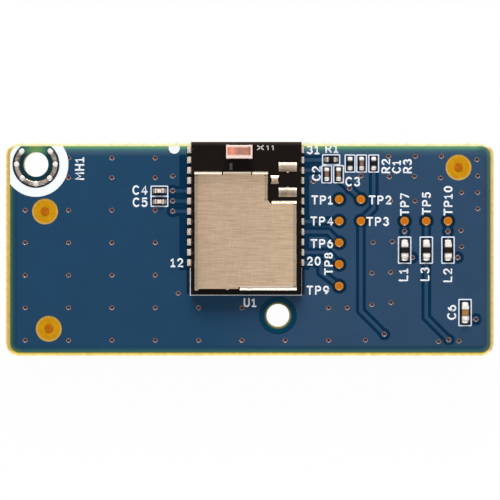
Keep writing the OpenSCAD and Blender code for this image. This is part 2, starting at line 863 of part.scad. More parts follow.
// Folded wall along an edge from one point to another, with the can on its left
module fold(from, to) {
    run = to - from;
    translate([from[0], from[1], can_height]) rotate(atan2(run[1], run[0])) rotate([90, 0, 90])
        linear_extrude(norm(run)) mirror([1, 0]) fold_section();
}

// Walls along X run to the can's corners, walls along Y stop a slit short of them
module shield_can() color("#c4ac91") translate([0, 0, module_top]) {
    b = bend_radius;
    slit = bend_radius + corner_slit;
    relief = step_x + step_relief;
    translate([0, 0, can_height - sheet_thickness]) linear_extrude(sheet_thickness) {
        span([can_left + b, can_bottom + b], [can_right - b, step_y - b]);
        span([can_left + b, can_bottom + b], [step_x - b, can_top - b]);
        span([tongue_left, can_top - 2 * b], [tongue_right, can_top - tongue_back]);
        span([can_left + b, lip_edge], [lip_end, can_bottom + 2 * b]);
        translate([can_left + lip_nib_inset, lip_edge + lip_nib_r / 2]) circle(lip_nib_r);
        polygon([
            [step_x - 2 * b, step_y - 2 * b], [step_x - 2 * b, step_y], [step_x, step_y],
            [relief - corner_slit, step_y - b], [relief - corner_slit, step_y - 2 * b]
        ]);
    }
    fold([tongue_left - wall_gap, can_top], [can_left, can_top]);
    fold([step_x, can_top], [tongue_right + wall_gap, can_top]);
    fold([step_x, step_y + corner_slit], [step_x, can_top - slit]);
    fold([can_right, step_y], [relief, step_y]);
    fold([can_right, can_bottom + slit], [can_right, step_y - slit]);
    fold([lip_end + wall_gap, can_bottom], [can_right, can_bottom]);
    fold([can_left, can_top - slit], [can_left, can_bottom]);
}

module antenna_body() color("#f1dcd2") translate([antenna_place[0], antenna_place[1], module_top])
    chip_bar(
        antenna_length - 2 * antenna_end, antenna_width - 2 * end_step,
        antenna_height - 2 * end_step, end_step
    );

module antenna_ends() color("#efe9e0") for (side = [-1, 1])
    translate([antenna_place[0] + side * (antenna_length - antenna_end) / 2, antenna_place[1], module_top])
        chip_bar(antenna_end, antenna_width, antenna_height, 0);

module antenna_feed() color("#8d8d8d") translate([feed_place[0], feed_place[1], module_top])
    linear_extrude(foil_thickness) square(feed_size, center = true);

// Land of its children's shape, with a low dome of solder that is rounded across a width
module tinned_land(width) {
    dome_r = (pow(width / 2, 2) + pow(coax_dome, 2)) / (2 * coax_dome);
    linear_extrude(land_thickness) children();
    translate([0, 0, land_thickness]) intersection() {
        linear_extrude(coax_dome) children();
        translate([-coax_land_length, 0, coax_dome - dome_r]) rotate([0, 90, 0])
            cylinder(h = 2 * coax_land_length, r = dome_r);
    }
}

// Ground lands with a nub towards the middle, and a signal land with a waist
module coax_lands() color("#dedad2") translate([coax_place[0], coax_place[1], module_top]) {
    for (turn = [0, 180]) rotate(turn) translate([0, coax_pitch / 2, 0]) tinned_land(coax_land_width) {
        square([coax_land_length, coax_land_width], center = true);
        translate([0, -coax_land_width / 2]) circle(coax_nub_r);
    }
    translate([-coax_signal_shift, 0, 0]) tinned_land(coax_signal_size[1]) difference() {
        square(coax_signal_size, center = true);
        for (side = [-1, 1])
            translate([side * (coax_signal_size[0] / 2 - coax_waist + coax_waist_r), 0]) circle(coax_waist_r);
    }
}

module radio_chip() color("#2a2a2c") translate([radio_chip_place[0], radio_chip_place[1], module_top])
    linear_extrude(radio_chip_height) round_rect([radio_chip_side, radio_chip_side], radio_chip_corner);

module crystal() color("#b9bcc0") translate([crystal_place[0], crystal_place[1], module_top])
    linear_extrude(crystal_size[2]) round_rect([crystal_size[0], crystal_size[1]], crystal_corner);

module inner_capacitors() color("#8a6a50") for (p = inner_chips)
    translate([can_left + p[0], can_bottom + p[1], module_top]) linear_extrude(inner_chip_size[2])
        round_rect([inner_chip_size[0], inner_chip_size[1]], chip_edge_r);

// Bar of a chip along X: length, section and height above the land
module chip_bar(length, width, height, lift) {
    rotate([90, 0, 90]) translate([0, lift + height / 2, 0]) linear_extrude(length, center = true)
        round_rect([width, height], chip_edge_r);
}

module chip_body(c) {
    kind = c[1];
    color(kind[6]) translate([c[2][0], c[2][1], land_top]) rotate(c[3])
        chip_bar(kind[0] - 2 * kind[3], kind[1] - 2 * end_step, kind[2] - 2 * end_step, end_step);
}

module chip_ends(c) {
    kind = c[1];
    color("#d9d7d2") translate([c[2][0], c[2][1], land_top]) rotate(c[3]) for (side = [-1, 1])
        translate([side * (kind[0] - kind[3]) / 2, 0, 0]) chip_bar(kind[3], kind[1], kind[2], 0);
}

module chip_solder() color("#e0ded8") translate([0, 0, land_top]) at_chips() for (turn = [0, 180])
    rotate(turn) translate([$kind[0] / 2, 0, 0]) fillet(min($kind[4], fillet_climb * $kind[2]), $kind[1]);

module pin_places() {
    for (c = header_columns, r = header_rows)
        translate([header_place[0] + c * pin_pitch, header_place[1] + r * pin_pitch / 2, 0])
            rotate(r > 0 ? 0 : 180) children();
}

// Square pins: a foot on its land, and a post with a chamfered tip
module header_pins() color("#c9a24a") pin_places() {
    half = pin_side / 2;
    post = pin_reach + header_height;
    section = [
        [-half, 0], [half, 0], [half, pin_tip - post],
        [half - pin_tip, -post], [pin_tip - half, -post], [-half, pin_tip - post]
    ];
    translate([-half, -half, header_top])
        cube([pin_side, foot_reach - pin_pitch / 2 + half, foot_thickness]);
    translate([0, 0, header_top]) intersection() {
        rotate([90, 0, 0]) linear_extrude(pin_side, center = true) polygon(section);
        rotate([90, 0, 90]) linear_extrude(pin_side, center = true) polygon(section);
    }
}

// Fillets at the toes of the pins' feet
module header_solder() color("#e0ded8") pin_places()
    translate([0, foot_reach - pin_pitch / 2, -land_thickness])
        rotate([180, 0, 90]) fillet(foot_thickness, pin_side);

// Moulded body with a pin hole for each pin and snap-off notches between the columns
module header_body() color("#1d1d1f") difference() {
    translate([header_place[0], header_place[1], header_top - header_height])
        linear_extrude(header_height) difference() {
            square([header_length, header_width], center = true);
            for (c = [-2:1], r = header_rows)
                translate([(c + 1 / 2) * pin_pitch, r * header_width / 2]) rotate(45)
                    square(header_notch, center = true);
        }
    slot = pin_side + 2 * pin_clearance;
    pin_places() translate([0, 0, header_top - header_height / 2])
        cube([slot, slot, header_height + cut_over], center = true);
}

card_laminate();
foil_top();
foil_bottom();
mask_top();
mask_bottom();
plated_vias();
via_plugs();
test_pads();
fiducial_dots();
mounting_lands();
mounting_solder();
module_lands();
chip_lands();
header_lands();
legend_ink();
module_board();
module_castellations();
module_solder();
shield_can();
antenna_body();
antenna_ends();
antenna_feed();
coax_lands();
radio_chip();
crystal();
inner_capacitors();
for (c = CHIPS) {
    chip_body(c);
    chip_ends(c);
}
chip_solder();
header_body();
header_pins();
header_solder();
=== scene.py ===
import math
from functools import partial, reduce

import bmesh
import bpy
from bpy.props import FloatProperty, FloatVectorProperty, PointerProperty
from bpy.types import Operator, Panel, PropertyGroup
from mathutils import Color, Matrix, Vector


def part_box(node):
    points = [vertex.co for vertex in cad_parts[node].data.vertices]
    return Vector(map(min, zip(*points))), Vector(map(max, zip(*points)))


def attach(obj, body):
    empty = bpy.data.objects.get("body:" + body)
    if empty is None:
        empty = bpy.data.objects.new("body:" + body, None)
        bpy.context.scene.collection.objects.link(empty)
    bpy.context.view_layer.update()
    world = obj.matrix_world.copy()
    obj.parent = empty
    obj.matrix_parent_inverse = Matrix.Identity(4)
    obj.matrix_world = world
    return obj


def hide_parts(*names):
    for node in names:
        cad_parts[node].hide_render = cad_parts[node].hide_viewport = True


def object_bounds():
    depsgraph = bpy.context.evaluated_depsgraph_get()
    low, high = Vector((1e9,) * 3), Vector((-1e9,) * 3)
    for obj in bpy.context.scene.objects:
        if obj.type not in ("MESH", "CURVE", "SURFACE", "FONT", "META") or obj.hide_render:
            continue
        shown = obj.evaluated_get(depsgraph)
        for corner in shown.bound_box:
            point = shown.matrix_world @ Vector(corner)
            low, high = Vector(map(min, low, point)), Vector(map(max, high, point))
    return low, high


bl_info = {
    "name": "Radio daughter card",
    "version": (1, 0, 0),
    "blender": (4, 5, 0),
    "location": "View3D > Sidebar > Card",
    "description": "Finishes, lettering, solder and studio for a radio daughter card",
    "category": "Object",
}

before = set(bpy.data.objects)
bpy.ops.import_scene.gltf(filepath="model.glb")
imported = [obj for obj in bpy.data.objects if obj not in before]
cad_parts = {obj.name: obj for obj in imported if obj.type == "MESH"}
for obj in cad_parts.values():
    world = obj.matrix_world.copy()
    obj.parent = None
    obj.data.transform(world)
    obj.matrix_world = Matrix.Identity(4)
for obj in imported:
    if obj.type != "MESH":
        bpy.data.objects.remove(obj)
CAD_BOX = [list(corner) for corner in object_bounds()]

# Millimetres in the scene's metres
MM = 0.001


def box_mm(node):
    """Lowest and highest corners of a CAD node in millimetres."""
    return [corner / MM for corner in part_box(node)]


# Levels and edges of the card in millimetres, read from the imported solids
CARD_LOW, CARD_HIGH = box_mm("card_laminate")
MASK_HIGH = box_mm("mask_top")[1]
VIA_LOW, VIA_HIGH = box_mm("plated_vias")
MODULE_LOW, MODULE_HIGH = box_mm("module_board")
CAN_LOW, CAN_HIGH = box_mm("shield_can")
ANTENNA_LOW, ANTENNA_HIGH = box_mm("antenna_ends")
CARD_MIDDLE = (CARD_LOW.z + CARD_HIGH.z) / 2
HALF_CORE = CARD_HIGH.z - CARD_MIDDLE
LAND_TOP = MODULE_LOW.z

# Sizes of the solids in millimetres that their boxes don't give
NIB_HEIGHT = 0.1
CORNER_RADIUS = 1.6
MASK_DIP = 0.02
WINDOW_RADIUS = 1.525
RING_INK = 2.76
LIP_LENGTH = 5.14
VIA_HOLE_D = 0.32
VIA_WALL = 0.04
LARGE_CHIP = 0.65

# The mounting hole is the datum; the locating hole is measured from the module's corner
MOUNTING_HOLE = [Vector(), Vector()]
LOCATING_RADIUS = 1.35
LOCATING_HOLE = [(MODULE_LOW + Vector((10.15, -2.5, 0.0))) * MM] * 2

# Steps of a full turn, cuts across a lump of solder, and the distance at which loose corners are one
SPIN_STEPS = 60
VIA_STEPS = 14
DOME_STEPS = 20
SOLDER_CUTS = 8
MERGE_DISTANCE = 0.0005

# Length in millimetres that is longer than anything on the card
FAR = 100.0
WHITE = (1.0, 1.0, 1.0, 1.0)

CHIP_BODIES = {
    "capacitor_1": "ceramic_pale", "capacitor_2": "ceramic_pale",
    "capacitor_3": "ceramic_brown", "capacitor_4": "ceramic_brown", "capacitor_5": "ceramic_brown",
    "capacitor_6": "ceramic_ochre",
    "resistor_1": "resistor_black", "resistor_2": "resistor_black", "resistor_3": "resistor_black",
    "bead_1": "ferrite_black", "bead_2": "ferrite_black", "bead_3": "ferrite_black",
}


def linear(colour):
    """Linear RGBA of a colour as a screen shows it."""
    return [*(c / 12.92 if c <= 0.04045 else ((c + 0.055) / 1.055) ** 2.4 for c in colour), 1.0]


def shade(name, description, *steps):
    """Colour property, given in the 0 to 255 steps of a screen."""
    return FloatVectorProperty(
        name=name, description=description, size=3, subtype="COLOR_GAMMA", min=0.0, max=1.0,
        default=[step / 255 for step in steps],
    )


def number(name, description, default, **kind):
    """Plain number property."""
    return FloatProperty(name=name, description=description, default=default, **kind)


def length(name, description, millimetres):
    """Length property, given in millimetres."""
    return number(name, description, millimetres * MM, unit="LENGTH", precision=5)


class CardFinish(PropertyGroup):
    """Colours of the bare card: laminate, mask, foil, plating and ink"""

    laminate: shade("Laminate", "Bare rim of the glass-epoxy laminate", 208, 175, 91)
    # Painted highlight: the routed edge is paler, and the rim on the antenna side paler again, as where the
    # key lamp's light falls
    laminate_edge_highlight: shade("Routed edge", "Pale routed edge of the laminate", 255, 248, 204)
    laminate_lit: shade("Lit edge", "Routed edge on the antenna side", 255, 254, 240)
    laminate_yellow: shade("Lit rim", "Bare rim on the antenna side", 250, 238, 164)
    laminate_near: shade("Near rim", "Bare rim on the side away from the antenna", 236, 206, 90)
    laminate_cut: shade("Cut wall", "Wall of a hole or edge in the laminate", 226, 214, 160)
    laminate_amber: shade("Window", "Laminate inside a fiducial window", 201, 141, 0)
    laminate_ring: shade("Window rim", "Lighter rim of a fiducial window", 204, 168, 84)
    # Painted shade: the laminate in the narrow gaps beside a land is darkened as if in shadow
    laminate_shaded: shade("Stained laminate", "Laminate in the narrow gaps beside a land", 20, 30, 40)
    mask_blue: shade("Mask over foil", "Solder mask over the ground foil", 31, 67, 97)
    mask_warm: shade("Warm mask", "Solder mask over foil, right of the radio module", 46, 73, 101)
    mask_gap: shade("Mask over a gap", "Solder mask where the foil is cleared", 0, 44, 73)
    mask_border: shade("Mask border", "Solder mask outside the foil, towards the foil", 30, 68, 90)
    mask_edge: shade("Mask edge", "Solder mask outside the foil, at its own edge", 58, 102, 92)
    mask_edge_left: shade("Left edge", "Mask edge on the mounting-hole side", 88, 114, 60)
    mask_edge_right: shade("Right edge", "Mask edge on the far side from the mounting hole", 74, 98, 90)
    mask_border_lit: shade("Lit border", "Mask border along the antenna edge, towards the foil", 60, 98, 114)
    mask_edge_lit: shade("Lit edge", "Mask edge along the antenna edge", 106, 160, 116)
    mask_hole: shade("Hole border", "Mask round the mounting hole", 16, 52, 62)
    mask_hole_lit: shade("Lit hole border", "Mask between mounting hole and antenna edge", 100, 142, 86)
    mask_hole_side: shade("Hole side", "Mask beside the lit part of the hole border", 44, 98, 94)
    mask_glow: shade("Lit foil", "Mask over the foil's edge on the antenna side", 64, 88, 107)
    mask_locating: shade("Locating border", "Mask round the locating hole", 0, 60, 84)
    mask_fringe: shade("Hole fringe", "Thin mask at the rim of the locating hole", 146, 138, 72)
    # Painted shade: the mask beside soldered parts is darkened as their shadow
    mask_shaded: shade("Flux stain", "Mask beside a soldered part", 10, 24, 36)
    copper: shade("Copper", "Edges of the copper foil", 186, 116, 70)
    gold: shade("Gold", "Middle of a test pad", 208, 112, 8)
    # Painted reflection: the pad's paler rim stands in for light off its domed face
    gold_rim_sheen: shade("Gold rim", "Paler rim of a test pad", 200, 136, 58)
    # Painted highlight: a pale tip at the near end of each pad
    gold_tip_highlight: shade("Gold tip", "Pale tip of a test pad", 222, 204, 172)
    gold_dull: shade("Dull gold", "Darker patches of the gold finish", 200, 112, 26)
    fiducial: shade("Fiducial dot", "Dull metal of the fiducial dots", 176, 98, 0)
    # Painted shade and highlight: the via ring is dull, partly as oxide and partly as painted shade on its
    # far half; its paler crescent is painted highlight
    via_shaded: shade("Via ring", "Oxidised ring of a via", 140, 118, 120)
    via_deep: shade("Via shade", "Darker patches of a via ring", 112, 92, 97)
    via_highlight: shade("Via crescent", "Bare side of a via ring", 150, 134, 134)
    via_highlight_dull: shade("Dull crescent", "Duller bare side of a via ring", 122, 104, 106)
    via_resin: shade("Via plug", "Resin inside a via", 82, 66, 78)
    ink: shade("Legend ink", "White printed legend", 243, 247, 253)
    ink_thin: shade("Thin ink", "Legend where the ink is thin", 224, 230, 240)
    ink_frame: shade("Frame ink", "Thinner ink of the frames round the parts", 222, 230, 244)
    ink_module: shade("Module ink", "Lettering on the module board", 196, 190, 184)


class PartFinish(PropertyGroup):
    """Colours of the parts that stand on the card"""

    tin: shade("Tin", "Bright tin and solder", 251, 244, 236)
    tin_dull: shade("Dull tin", "Duller, darker tin", 226, 216, 206)
    chip_end: shade("Chip end", "Plated end of a chip", 250, 244, 238)
    chip_end_dull: shade("Dull chip end", "Darker patches of a chip's end", 214, 204, 194)
    chip_end_dark: shade("Thin chip end", "Thin plating beside a chip's body", 92, 80, 72)
    coax: shade("Coax tin", "Tin of the unfitted coax lands", 196, 174, 152)
    # Painted highlight: a paler border round each coax land
    coax_rim_highlight: shade("Coax rim", "Bright border of the unfitted coax lands", 214, 194, 172)
    coax_dull: shade("Coax shade", "Brown patches on the unfitted coax lands", 98, 76, 60)
    feed: shade("Feed line", "Dark metal of the antenna's feed line", 92, 86, 84)
    ring_bright: shade("Ring tin", "Bright streaks of the tin round the mounting hole", 192, 180, 166)
    ring_dark: shade("Dull ring tin", "Dull streaks of the tin round the mounting hole", 96, 84, 80)
    # Painted shade: the chip lands are dark, as in the shadow beside the chips' ends
    land_shaded: shade("Chip land", "Flux-stained land of a chip", 84, 76, 72)
    land_dark: shade("Dark land", "Darker patches of a chip's land", 48, 42, 40)
    solder_dull: shade("Tired solder", "Duller solder of the chips that lie along the card", 216, 200, 182)
    solder_dark: shade("Dark solder", "Darker patches of the duller solder", 134, 116, 100)
    solder_wall: shade("Solder at the wall", "Solder against the module's edge", 206, 154, 108)
    # Painted shade: the solder inside the half holes is near-black, as in shade
    half_hole_solder_shaded: shade("Half-hole solder", "Solder inside the half holes", 26, 20, 17)
    board: shade("Module board", "Black mask of the module board", 18, 9, 4)
    # Its colour also paints a sheen along the board's far edge
    board_edge: shade("Module edge", "Cut edge of the module board, and its worn border", 62, 50, 44)
    can: shade("Can", "Brushed nickel-silver sheet", 233, 204, 173)
    can_dark: shade("Can shade", "Darker streaks in the sheet", 204, 174, 145)
    # Painted highlight: the folds are painted paler; those facing the antenna edge are painted darker, as
    # shade that tones down the key lamp's reflection
    can_fold_highlight: shade("Can fold", "Burnished folds of the sheet", 250, 236, 218)
    can_far_fold_shaded: shade("Far fold", "Folds of the sheet that face the antenna edge", 150, 142, 133)
    # Painted shade: the half holes' plating is kept dark, as in shade
    castellation: shade("Half hole", "Plating of the module's half holes", 44, 34, 26)
    antenna_red: shade("Antenna field", "Printed field of the chip antenna", 246, 142, 110)
    antenna_tan: shade("Antenna fade", "Browner end of the printed field", 182, 104, 78)
    # The glazed rim is widened along the near edge as a painted highlight
    antenna_rim_and_highlight: shade("Antenna glaze", "Glazed rim of the chip antenna", 246, 220, 208)
    pale: shade("Pale ceramic", "Body of the pale capacitors", 238, 216, 204)
    brown: shade("Brown ceramic", "Body of the small capacitors", 136, 99, 72)
    ochre: shade("Ochre ceramic", "Body of the large capacitor", 166, 118, 56)
    resistor: shade("Resistor glaze", "Black glaze of the resistors", 28, 24, 22)
    ferrite: shade("Ferrite", "Body of the beads", 34, 24, 20)
    resin: shade("Moulding resin", "Package of the radio chip", 40, 40, 42)
    lid: shade("Crystal lid", "Metal lid of the crystal", 188, 190, 194)
    plastic: shade("Header plastic", "Moulded body of the pin header", 28, 28, 30)
    pin_gold: shade("Pin gold", "Gold of the header pins", 222, 178, 92)
    pin_dull: shade("Dull pin", "Duller clouds on the header pins", 172, 130, 62)


class LegendStyle(PropertyGroup):
    """Sizes of the printed lettering"""

    module_stroke: length("Module stroke", "Width of a stroke on the module board", 0.18)
    module_spacing: length("Module spacing", "Clear space between letters on the module board", 0.26)
    stroke: length("Stroke", "Width of a letter's stroke", 0.212)
    spacing: length("Spacing", "Clear space between two letters", 0.18)
    ink: length("Ink", "Height of the ink above the mask", 0.02)


class SolderStyle(PropertyGroup):
    """Sizes of the solder"""

    left_toe: length("Left toe", "Reach of the solder at the left edge of the module", 0.44)
    right_toe: length("Right toe", "Reach of the solder at the right edge of the module", 0.27)
    module_bite: length("Module bite", "Reach of the solder into a half hole", 0.19)
    module_climb: length("Module climb", "Height of the solder on the module's edge", 0.42)
    right_climb: length("Right climb", "Height of the solder in the half holes on the right", 0.22)
    module_width: length("Module width", "Width of the solder at a half hole", 0.79)
    small_width: number("Small width", "Solder width over a small chip's width", 1.08, min=0.0)
    large_width: number("Large width", "Solder width over a large chip's width", 0.9, min=0.0)
    small_toe: length("Small toe", "Reach of the solder in front of a small chip", 0.28)
    large_toe: length("Large toe", "Reach of the solder in front of a large chip", 0.43)
    cover: length("Cover", "Thickness of the solder on top of a chip's end", 0.012)
    wrap: number("Wrap", "Share of a chip's end under solder", 0.42, min=0.1, max=0.9)
    ring_width: length("Ring width", "Width of the tin on the ring", 0.52)
    ring_rise: length("Ring rise", "Height of the tin on the ring", 0.08)
    dot_length: length("Dot length", "Length of a solder dot along the ring", 0.72)
    dot_width: length("Dot width", "Width of a solder dot across the ring", 0.62)
    dot_rise: length("Dot rise", "Height of a solder dot", 0.15)


class StudioSettings(PropertyGroup):
    """Floor, lamps and camera"""

    floor: shade("Floor", "Colour of the floor", 255, 255, 255)
    key: number("Key", "Power of the lamp beyond the antenna edge", 2.95, unit="POWER")
    fill: number("Fill", "Power of the lamp on the near side", 1.5, unit="POWER")
    flank: number("Flank", "Strength of the soft light from left and right", 0.65, min=0.0)
    zenith: number("Zenith", "Strength of the soft light overhead", 0.86, min=0.0)
    horizon: number("Horizon", "Strength of the soft light all round", 0.06, min=0.0)
    floor_glow: number("Floor glow", "White share of the floor as seen", 0.975, min=0.0, max=1.0)
    lamp_distance: length("Lamp distance", "From the card to a lamp", 515.0)
    key_width: length("Key width", "Width of the key lamp", 340.0)
    fill_width: length("Fill width", "Width of the fill lamp", 360.0)
    key_height: length("Key height", "Height of the key lamp", 220.0)
    fill_height: length("Fill height", "Height of the fill lamp", 140.0)
    key_angle: number("Key angle", "Elevation of the key lamp", math.radians(34), subtype="ANGLE")
    fill_angle: number("Fill angle", "Elevation of the fill lamp", math.radians(9), subtype="ANGLE")
    lens: number("Lens", "Focal length of the camera in millimetres", 200.0, min=1.0)
    view_width: length("View width", "Width of the picture at the card's face", 58.58)
    view_x: length("View X", "Middle of the picture along the card", 25.07)
    view_y: length("View Y", "Middle of the picture across the card", -10.03)


class Wiring:
    """Short calls for the nodes of one tree."""

    def __init__(self, tree):
        self.tree = tree
        self.shader = None

    def add(self, kind, inputs=(), **settings):
        node = self.tree.nodes.new(kind)
        for name, value in settings.items():
            setattr(node, name, value)
        for key, value in dict(inputs).items():
            self.put(node.inputs[key], value)
        return node

    def put(self, socket, value):
        """Links a socket or sets its value; a colour property is made linear first."""
        if isinstance(value, bpy.types.NodeSocket):
            self.tree.links.new(value, socket)
        else:
            socket.default_value = linear(value) if isinstance(value, Color) else value

    def group(self, name, **inputs):
        return self.add("ShaderNodeGroup", inputs, node_tree=bpy.data.node_groups[name]).outputs

    def math(self, operation, a, b=0.0):
        return self.add("ShaderNodeMath", {0: a, 1: b}, operation=operation).outputs[0]

    def times(self, *values):
        return reduce(partial(self.math, "MULTIPLY"), values)

    def plus(self, *values):
        return reduce(partial(self.math, "ADD"), values)

    def most(self, *values):
        return reduce(partial(self.math, "MAXIMUM"), values)

    def apart(self, value, middle=0.0):
        """Distance of a value from a middle."""
        return self.math("ABSOLUTE", self.math("SUBTRACT", value, middle))

    def vector(self, operation, a, b=(0.0, 0.0, 0.0)):
        return self.add("ShaderNodeVectorMath", {0: a, 1: b}, operation=operation).outputs

    def split(self, vector):
        return self.add("ShaderNodeSeparateXYZ", {0: vector}).outputs

    def place(self):
        """Object coordinates in millimetres: the point, then its X, Y and Z."""
        point = self.group("Card millimetres")["Point"]
        return point, *self.split(point)

    def step(self, value, low, high, to_low=0.0, to_high=1.0):
        """Smooth change of a value from one level to another."""
        inputs = {"Value": value, "From Min": low, "From Max": high, "To Min": to_low, "To Max": to_high}
        return self.add("ShaderNodeMapRange", inputs, interpolation_type="SMOOTHSTEP").outputs[0]

    def fall(self, value, low, high, start=1.0):
        """Smooth fall from a start to nothing."""
        return self.step(value, low, high, start, 0.0)

    def mix(self, factor, a, b, blend="MIX"):
        node = self.add("ShaderNodeMix", data_type="RGBA", blend_type=blend)
        for key, value in (("Factor_Float", factor), ("A_Color", a), ("B_Color", b)):
            self.put(next(s for s in node.inputs if s.identifier == key), value)
        return next(s for s in node.outputs if s.identifier == "Result_Color")

    def tint(self, colour, value):
        """Colour times a value."""
        grey = self.add("ShaderNodeCombineColor", {0: value, 1: value, 2: value}).outputs[0]
        return self.mix(1.0, colour, grey, "MULTIPLY")

    def noise(self, vector, scale, detail=3.0, roughness=0.55):
        inputs = {"Vector": vector, "Scale": scale, "Detail": detail, "Roughness": roughness}
        return self.add("ShaderNodeTexNoise", inputs, noise_dimensions="3D").outputs[0]

    def mottle(self, scale, amount):
        return self.group("Mottle", Scale=scale, Amount=amount)["Shade"]

    def tinned(self, bright, dull, scale):
        return self.group("Tinned", Bright=bright, Dull=dull, Scale=scale)

    def off_boxes(self, boxes):
        """Distance in millimetres to the nearest of several boxes given in metres, seen from above."""
        distances = []
        for low, high in boxes:
            middle, half = (low + high) / 2 / MM, (high - low) / 2 / MM
            half.z = FAR
            distances.append(self.group("Off a box", Middle=middle, Half=half)["Distance"])
        return reduce(partial(self.math, "MINIMUM"), distances)

    def surface(self, colour, roughness, height=None, depth=0.0):
        """Feeds the tree's shader; the depth of its bump is in millimetres."""
        self.put(self.shader["Base Color"], colour)
        self.put(self.shader["Roughness"], roughness)
        if height:
            inputs = {"Height": height, "Distance": depth * MM, "Strength": 1.0}
            self.put(self.shader["Normal"], self.add("ShaderNodeBump", inputs).outputs[0])


def new_group(name, inputs, outputs):
    """Empty shader node group with float, vector or colour sockets."""
    tree = bpy.data.node_groups.new(name, "ShaderNodeTree")
    kinds = {"value": "NodeSocketFloat", "vector": "NodeSocketVector", "colour": "NodeSocketColor"}
    for way, sockets in (("INPUT", inputs), ("OUTPUT", outputs)):
        for socket, kind in sockets.items():
            tree.interface.new_socket(socket, in_out=way, socket_type=kinds[kind])
    wires = Wiring(tree)
    return wires, wires.add("NodeGroupInput").outputs, wires.add("NodeGroupOutput").inputs


# Clouds in tin: where they turn dull and rough, and how rough they are
DULL_CLOUDS = (0.42, 0.72)
ROUGH_CLOUDS = (0.3, 0.75)
TIN_ROUGHNESS = (0.16, 0.36)


def make_groups():
    """Effects that several finishes share."""
    wires, _, out = new_group("Card millimetres", {}, {"Point": "vector"})
    point = wires.add("ShaderNodeTexCoord").outputs["Object"]
    wires.put(out["Point"], wires.vector("MULTIPLY", point, (1 / MM,) * 3)[0])

    wires, _, out = new_group("Card border", {}, {"Inset": "value"})
    _, x, y, _ = wires.place()
    low, high = CARD_LOW + Vector((NIB_HEIGHT, 0, 0)), CARD_HIGH
    reach = []
    for value, a, b in ((x, low.x, high.x), (y, low.y, high.y)):
        off = wires.apart(value, (a + b) / 2)
        reach.append(wires.math("SUBTRACT", off, (b - a) / 2 - CORNER_RADIUS))
    square = [wires.math("POWER", wires.most(r, 0.0), 2.0) for r in reach]
    outside = wires.math("SQRT", wires.plus(*square))
    inside = wires.math("MINIMUM", wires.most(*reach), 0.0)
    wires.put(out["Inset"], wires.math("SUBTRACT", CORNER_RADIUS, wires.plus(outside, inside)))

    wires, given, out = new_group("Off a box", {"Middle": "vector", "Half": "vector"}, {"Distance": "value"})
    point = wires.group("Card millimetres")["Point"]
    off = wires.vector("ABSOLUTE", wires.vector("SUBTRACT", point, given["Middle"])[0])[0]
    off = wires.vector("MAXIMUM", wires.vector("SUBTRACT", off, given["Half"])[0])[0]
    wires.put(out["Distance"], wires.vector("LENGTH", off)["Value"])

    wires, given, out = new_group("Mottle", {"Scale": "value", "Amount": "value"}, {"Shade": "value"})
    point = wires.group("Card millimetres")["Point"]
    swing = wires.math("SUBTRACT", wires.noise(point, given["Scale"]), 0.5)
    wires.put(out["Shade"], wires.plus(wires.times(swing, 2.0, given["Amount"]), 1.0))

    wires, given, out = new_group("Glass weave", {"Pitch": "value"}, {"Height": "value"})
    _, x, y, _ = wires.place()
    turn = wires.math("DIVIDE", math.pi, given["Pitch"])
    warp, weft = (wires.math("SINE", wires.times(value, turn)) for value in (x, y))
    wires.put(out["Height"], wires.plus(wires.times(warp, weft, 0.5), 0.5))

    wires, given, out = new_group(
        "Tinned", {"Bright": "colour", "Dull": "colour", "Scale": "value"},
        {"Color": "colour", "Roughness": "value", "Height": "value"},
    )
    point = wires.group("Card millimetres")["Point"]
    cloud = wires.noise(point, given["Scale"], detail=4.0, roughness=0.6)
    wires.put(out["Color"], wires.mix(wires.step(cloud, *DULL_CLOUDS), given["Bright"], given["Dull"]))
    wires.put(out["Roughness"], wires.step(cloud, *ROUGH_CLOUDS, *TIN_ROUGHNESS))
    wires.put(out["Height"], cloud)

    wires, given, out = new_group("Brushed", {"Along": "vector"}, {"Streak": "value", "Fine": "value"})
    point = wires.group("Card millimetres")["Point"]
    lines = wires.vector("MULTIPLY", point, given["Along"])[0]
    wires.put(out["Streak"], wires.noise(lines, 1.0, detail=4.0, roughness=0.6))
    wires.put(out["Fine"], wires.noise(lines, 3.2, detail=2.0, roughness=0.5))


def empty_material(name):
    """Material without nodes, and the wiring of its tree."""
    material = bpy.data.materials.new(name)
    material.use_nodes = True
    material.node_tree.nodes.clear()
    return material, Wiring(material.node_tree)


def new_material(name, **constants):
    """Material with one Principled shader whose constant sockets are set, and its wiring."""
    material, wires = empty_material(name)
    shader = wires.add("ShaderNodeBsdfPrincipled")
    wires.add("ShaderNodeOutputMaterial", {0: shader.outputs[0]})
    wires.shader = shader.inputs
    for key, value in constants.items():
        shader.inputs[key.replace("_", " ")].default_value = value
    return material, wires


def dress(material, *nodes):
    """Gives CAD nodes a finish."""
    for name in nodes:
        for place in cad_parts[name].material_slots:
            place.material = material


def solid_boxes(node):
    """Lowest and highest corners, in metres, of each separate solid in a CAD node."""
    copy = bmesh.new()
    copy.from_mesh(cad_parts[node].data)
    bmesh.ops.remove_doubles(copy, verts=copy.verts, dist=MERGE_DISTANCE * MM)
    boxes, seen = [], set()
    for first in copy.verts:
        if first in seen:
            continue
        seen.add(first)
        shell, waiting = [], [first]
        while waiting:
            vert = waiting.pop()
            shell.append(vert.co)
            near = [link.other_vert(vert) for link in vert.link_edges]
            fresh = [other for other in near if other not in seen]
            seen.update(fresh)
            waiting += fresh
        boxes.append([Vector([pick(co[axis] for co in shell) for axis in range(3)]) for pick in (min, max)])
    copy.free()
    return boxes


def centres(node):
    """Middle of each separate solid in a CAD node, as a box without size."""
    return [[(low + high) / 2] * 2 for low, high in solid_boxes(node)]


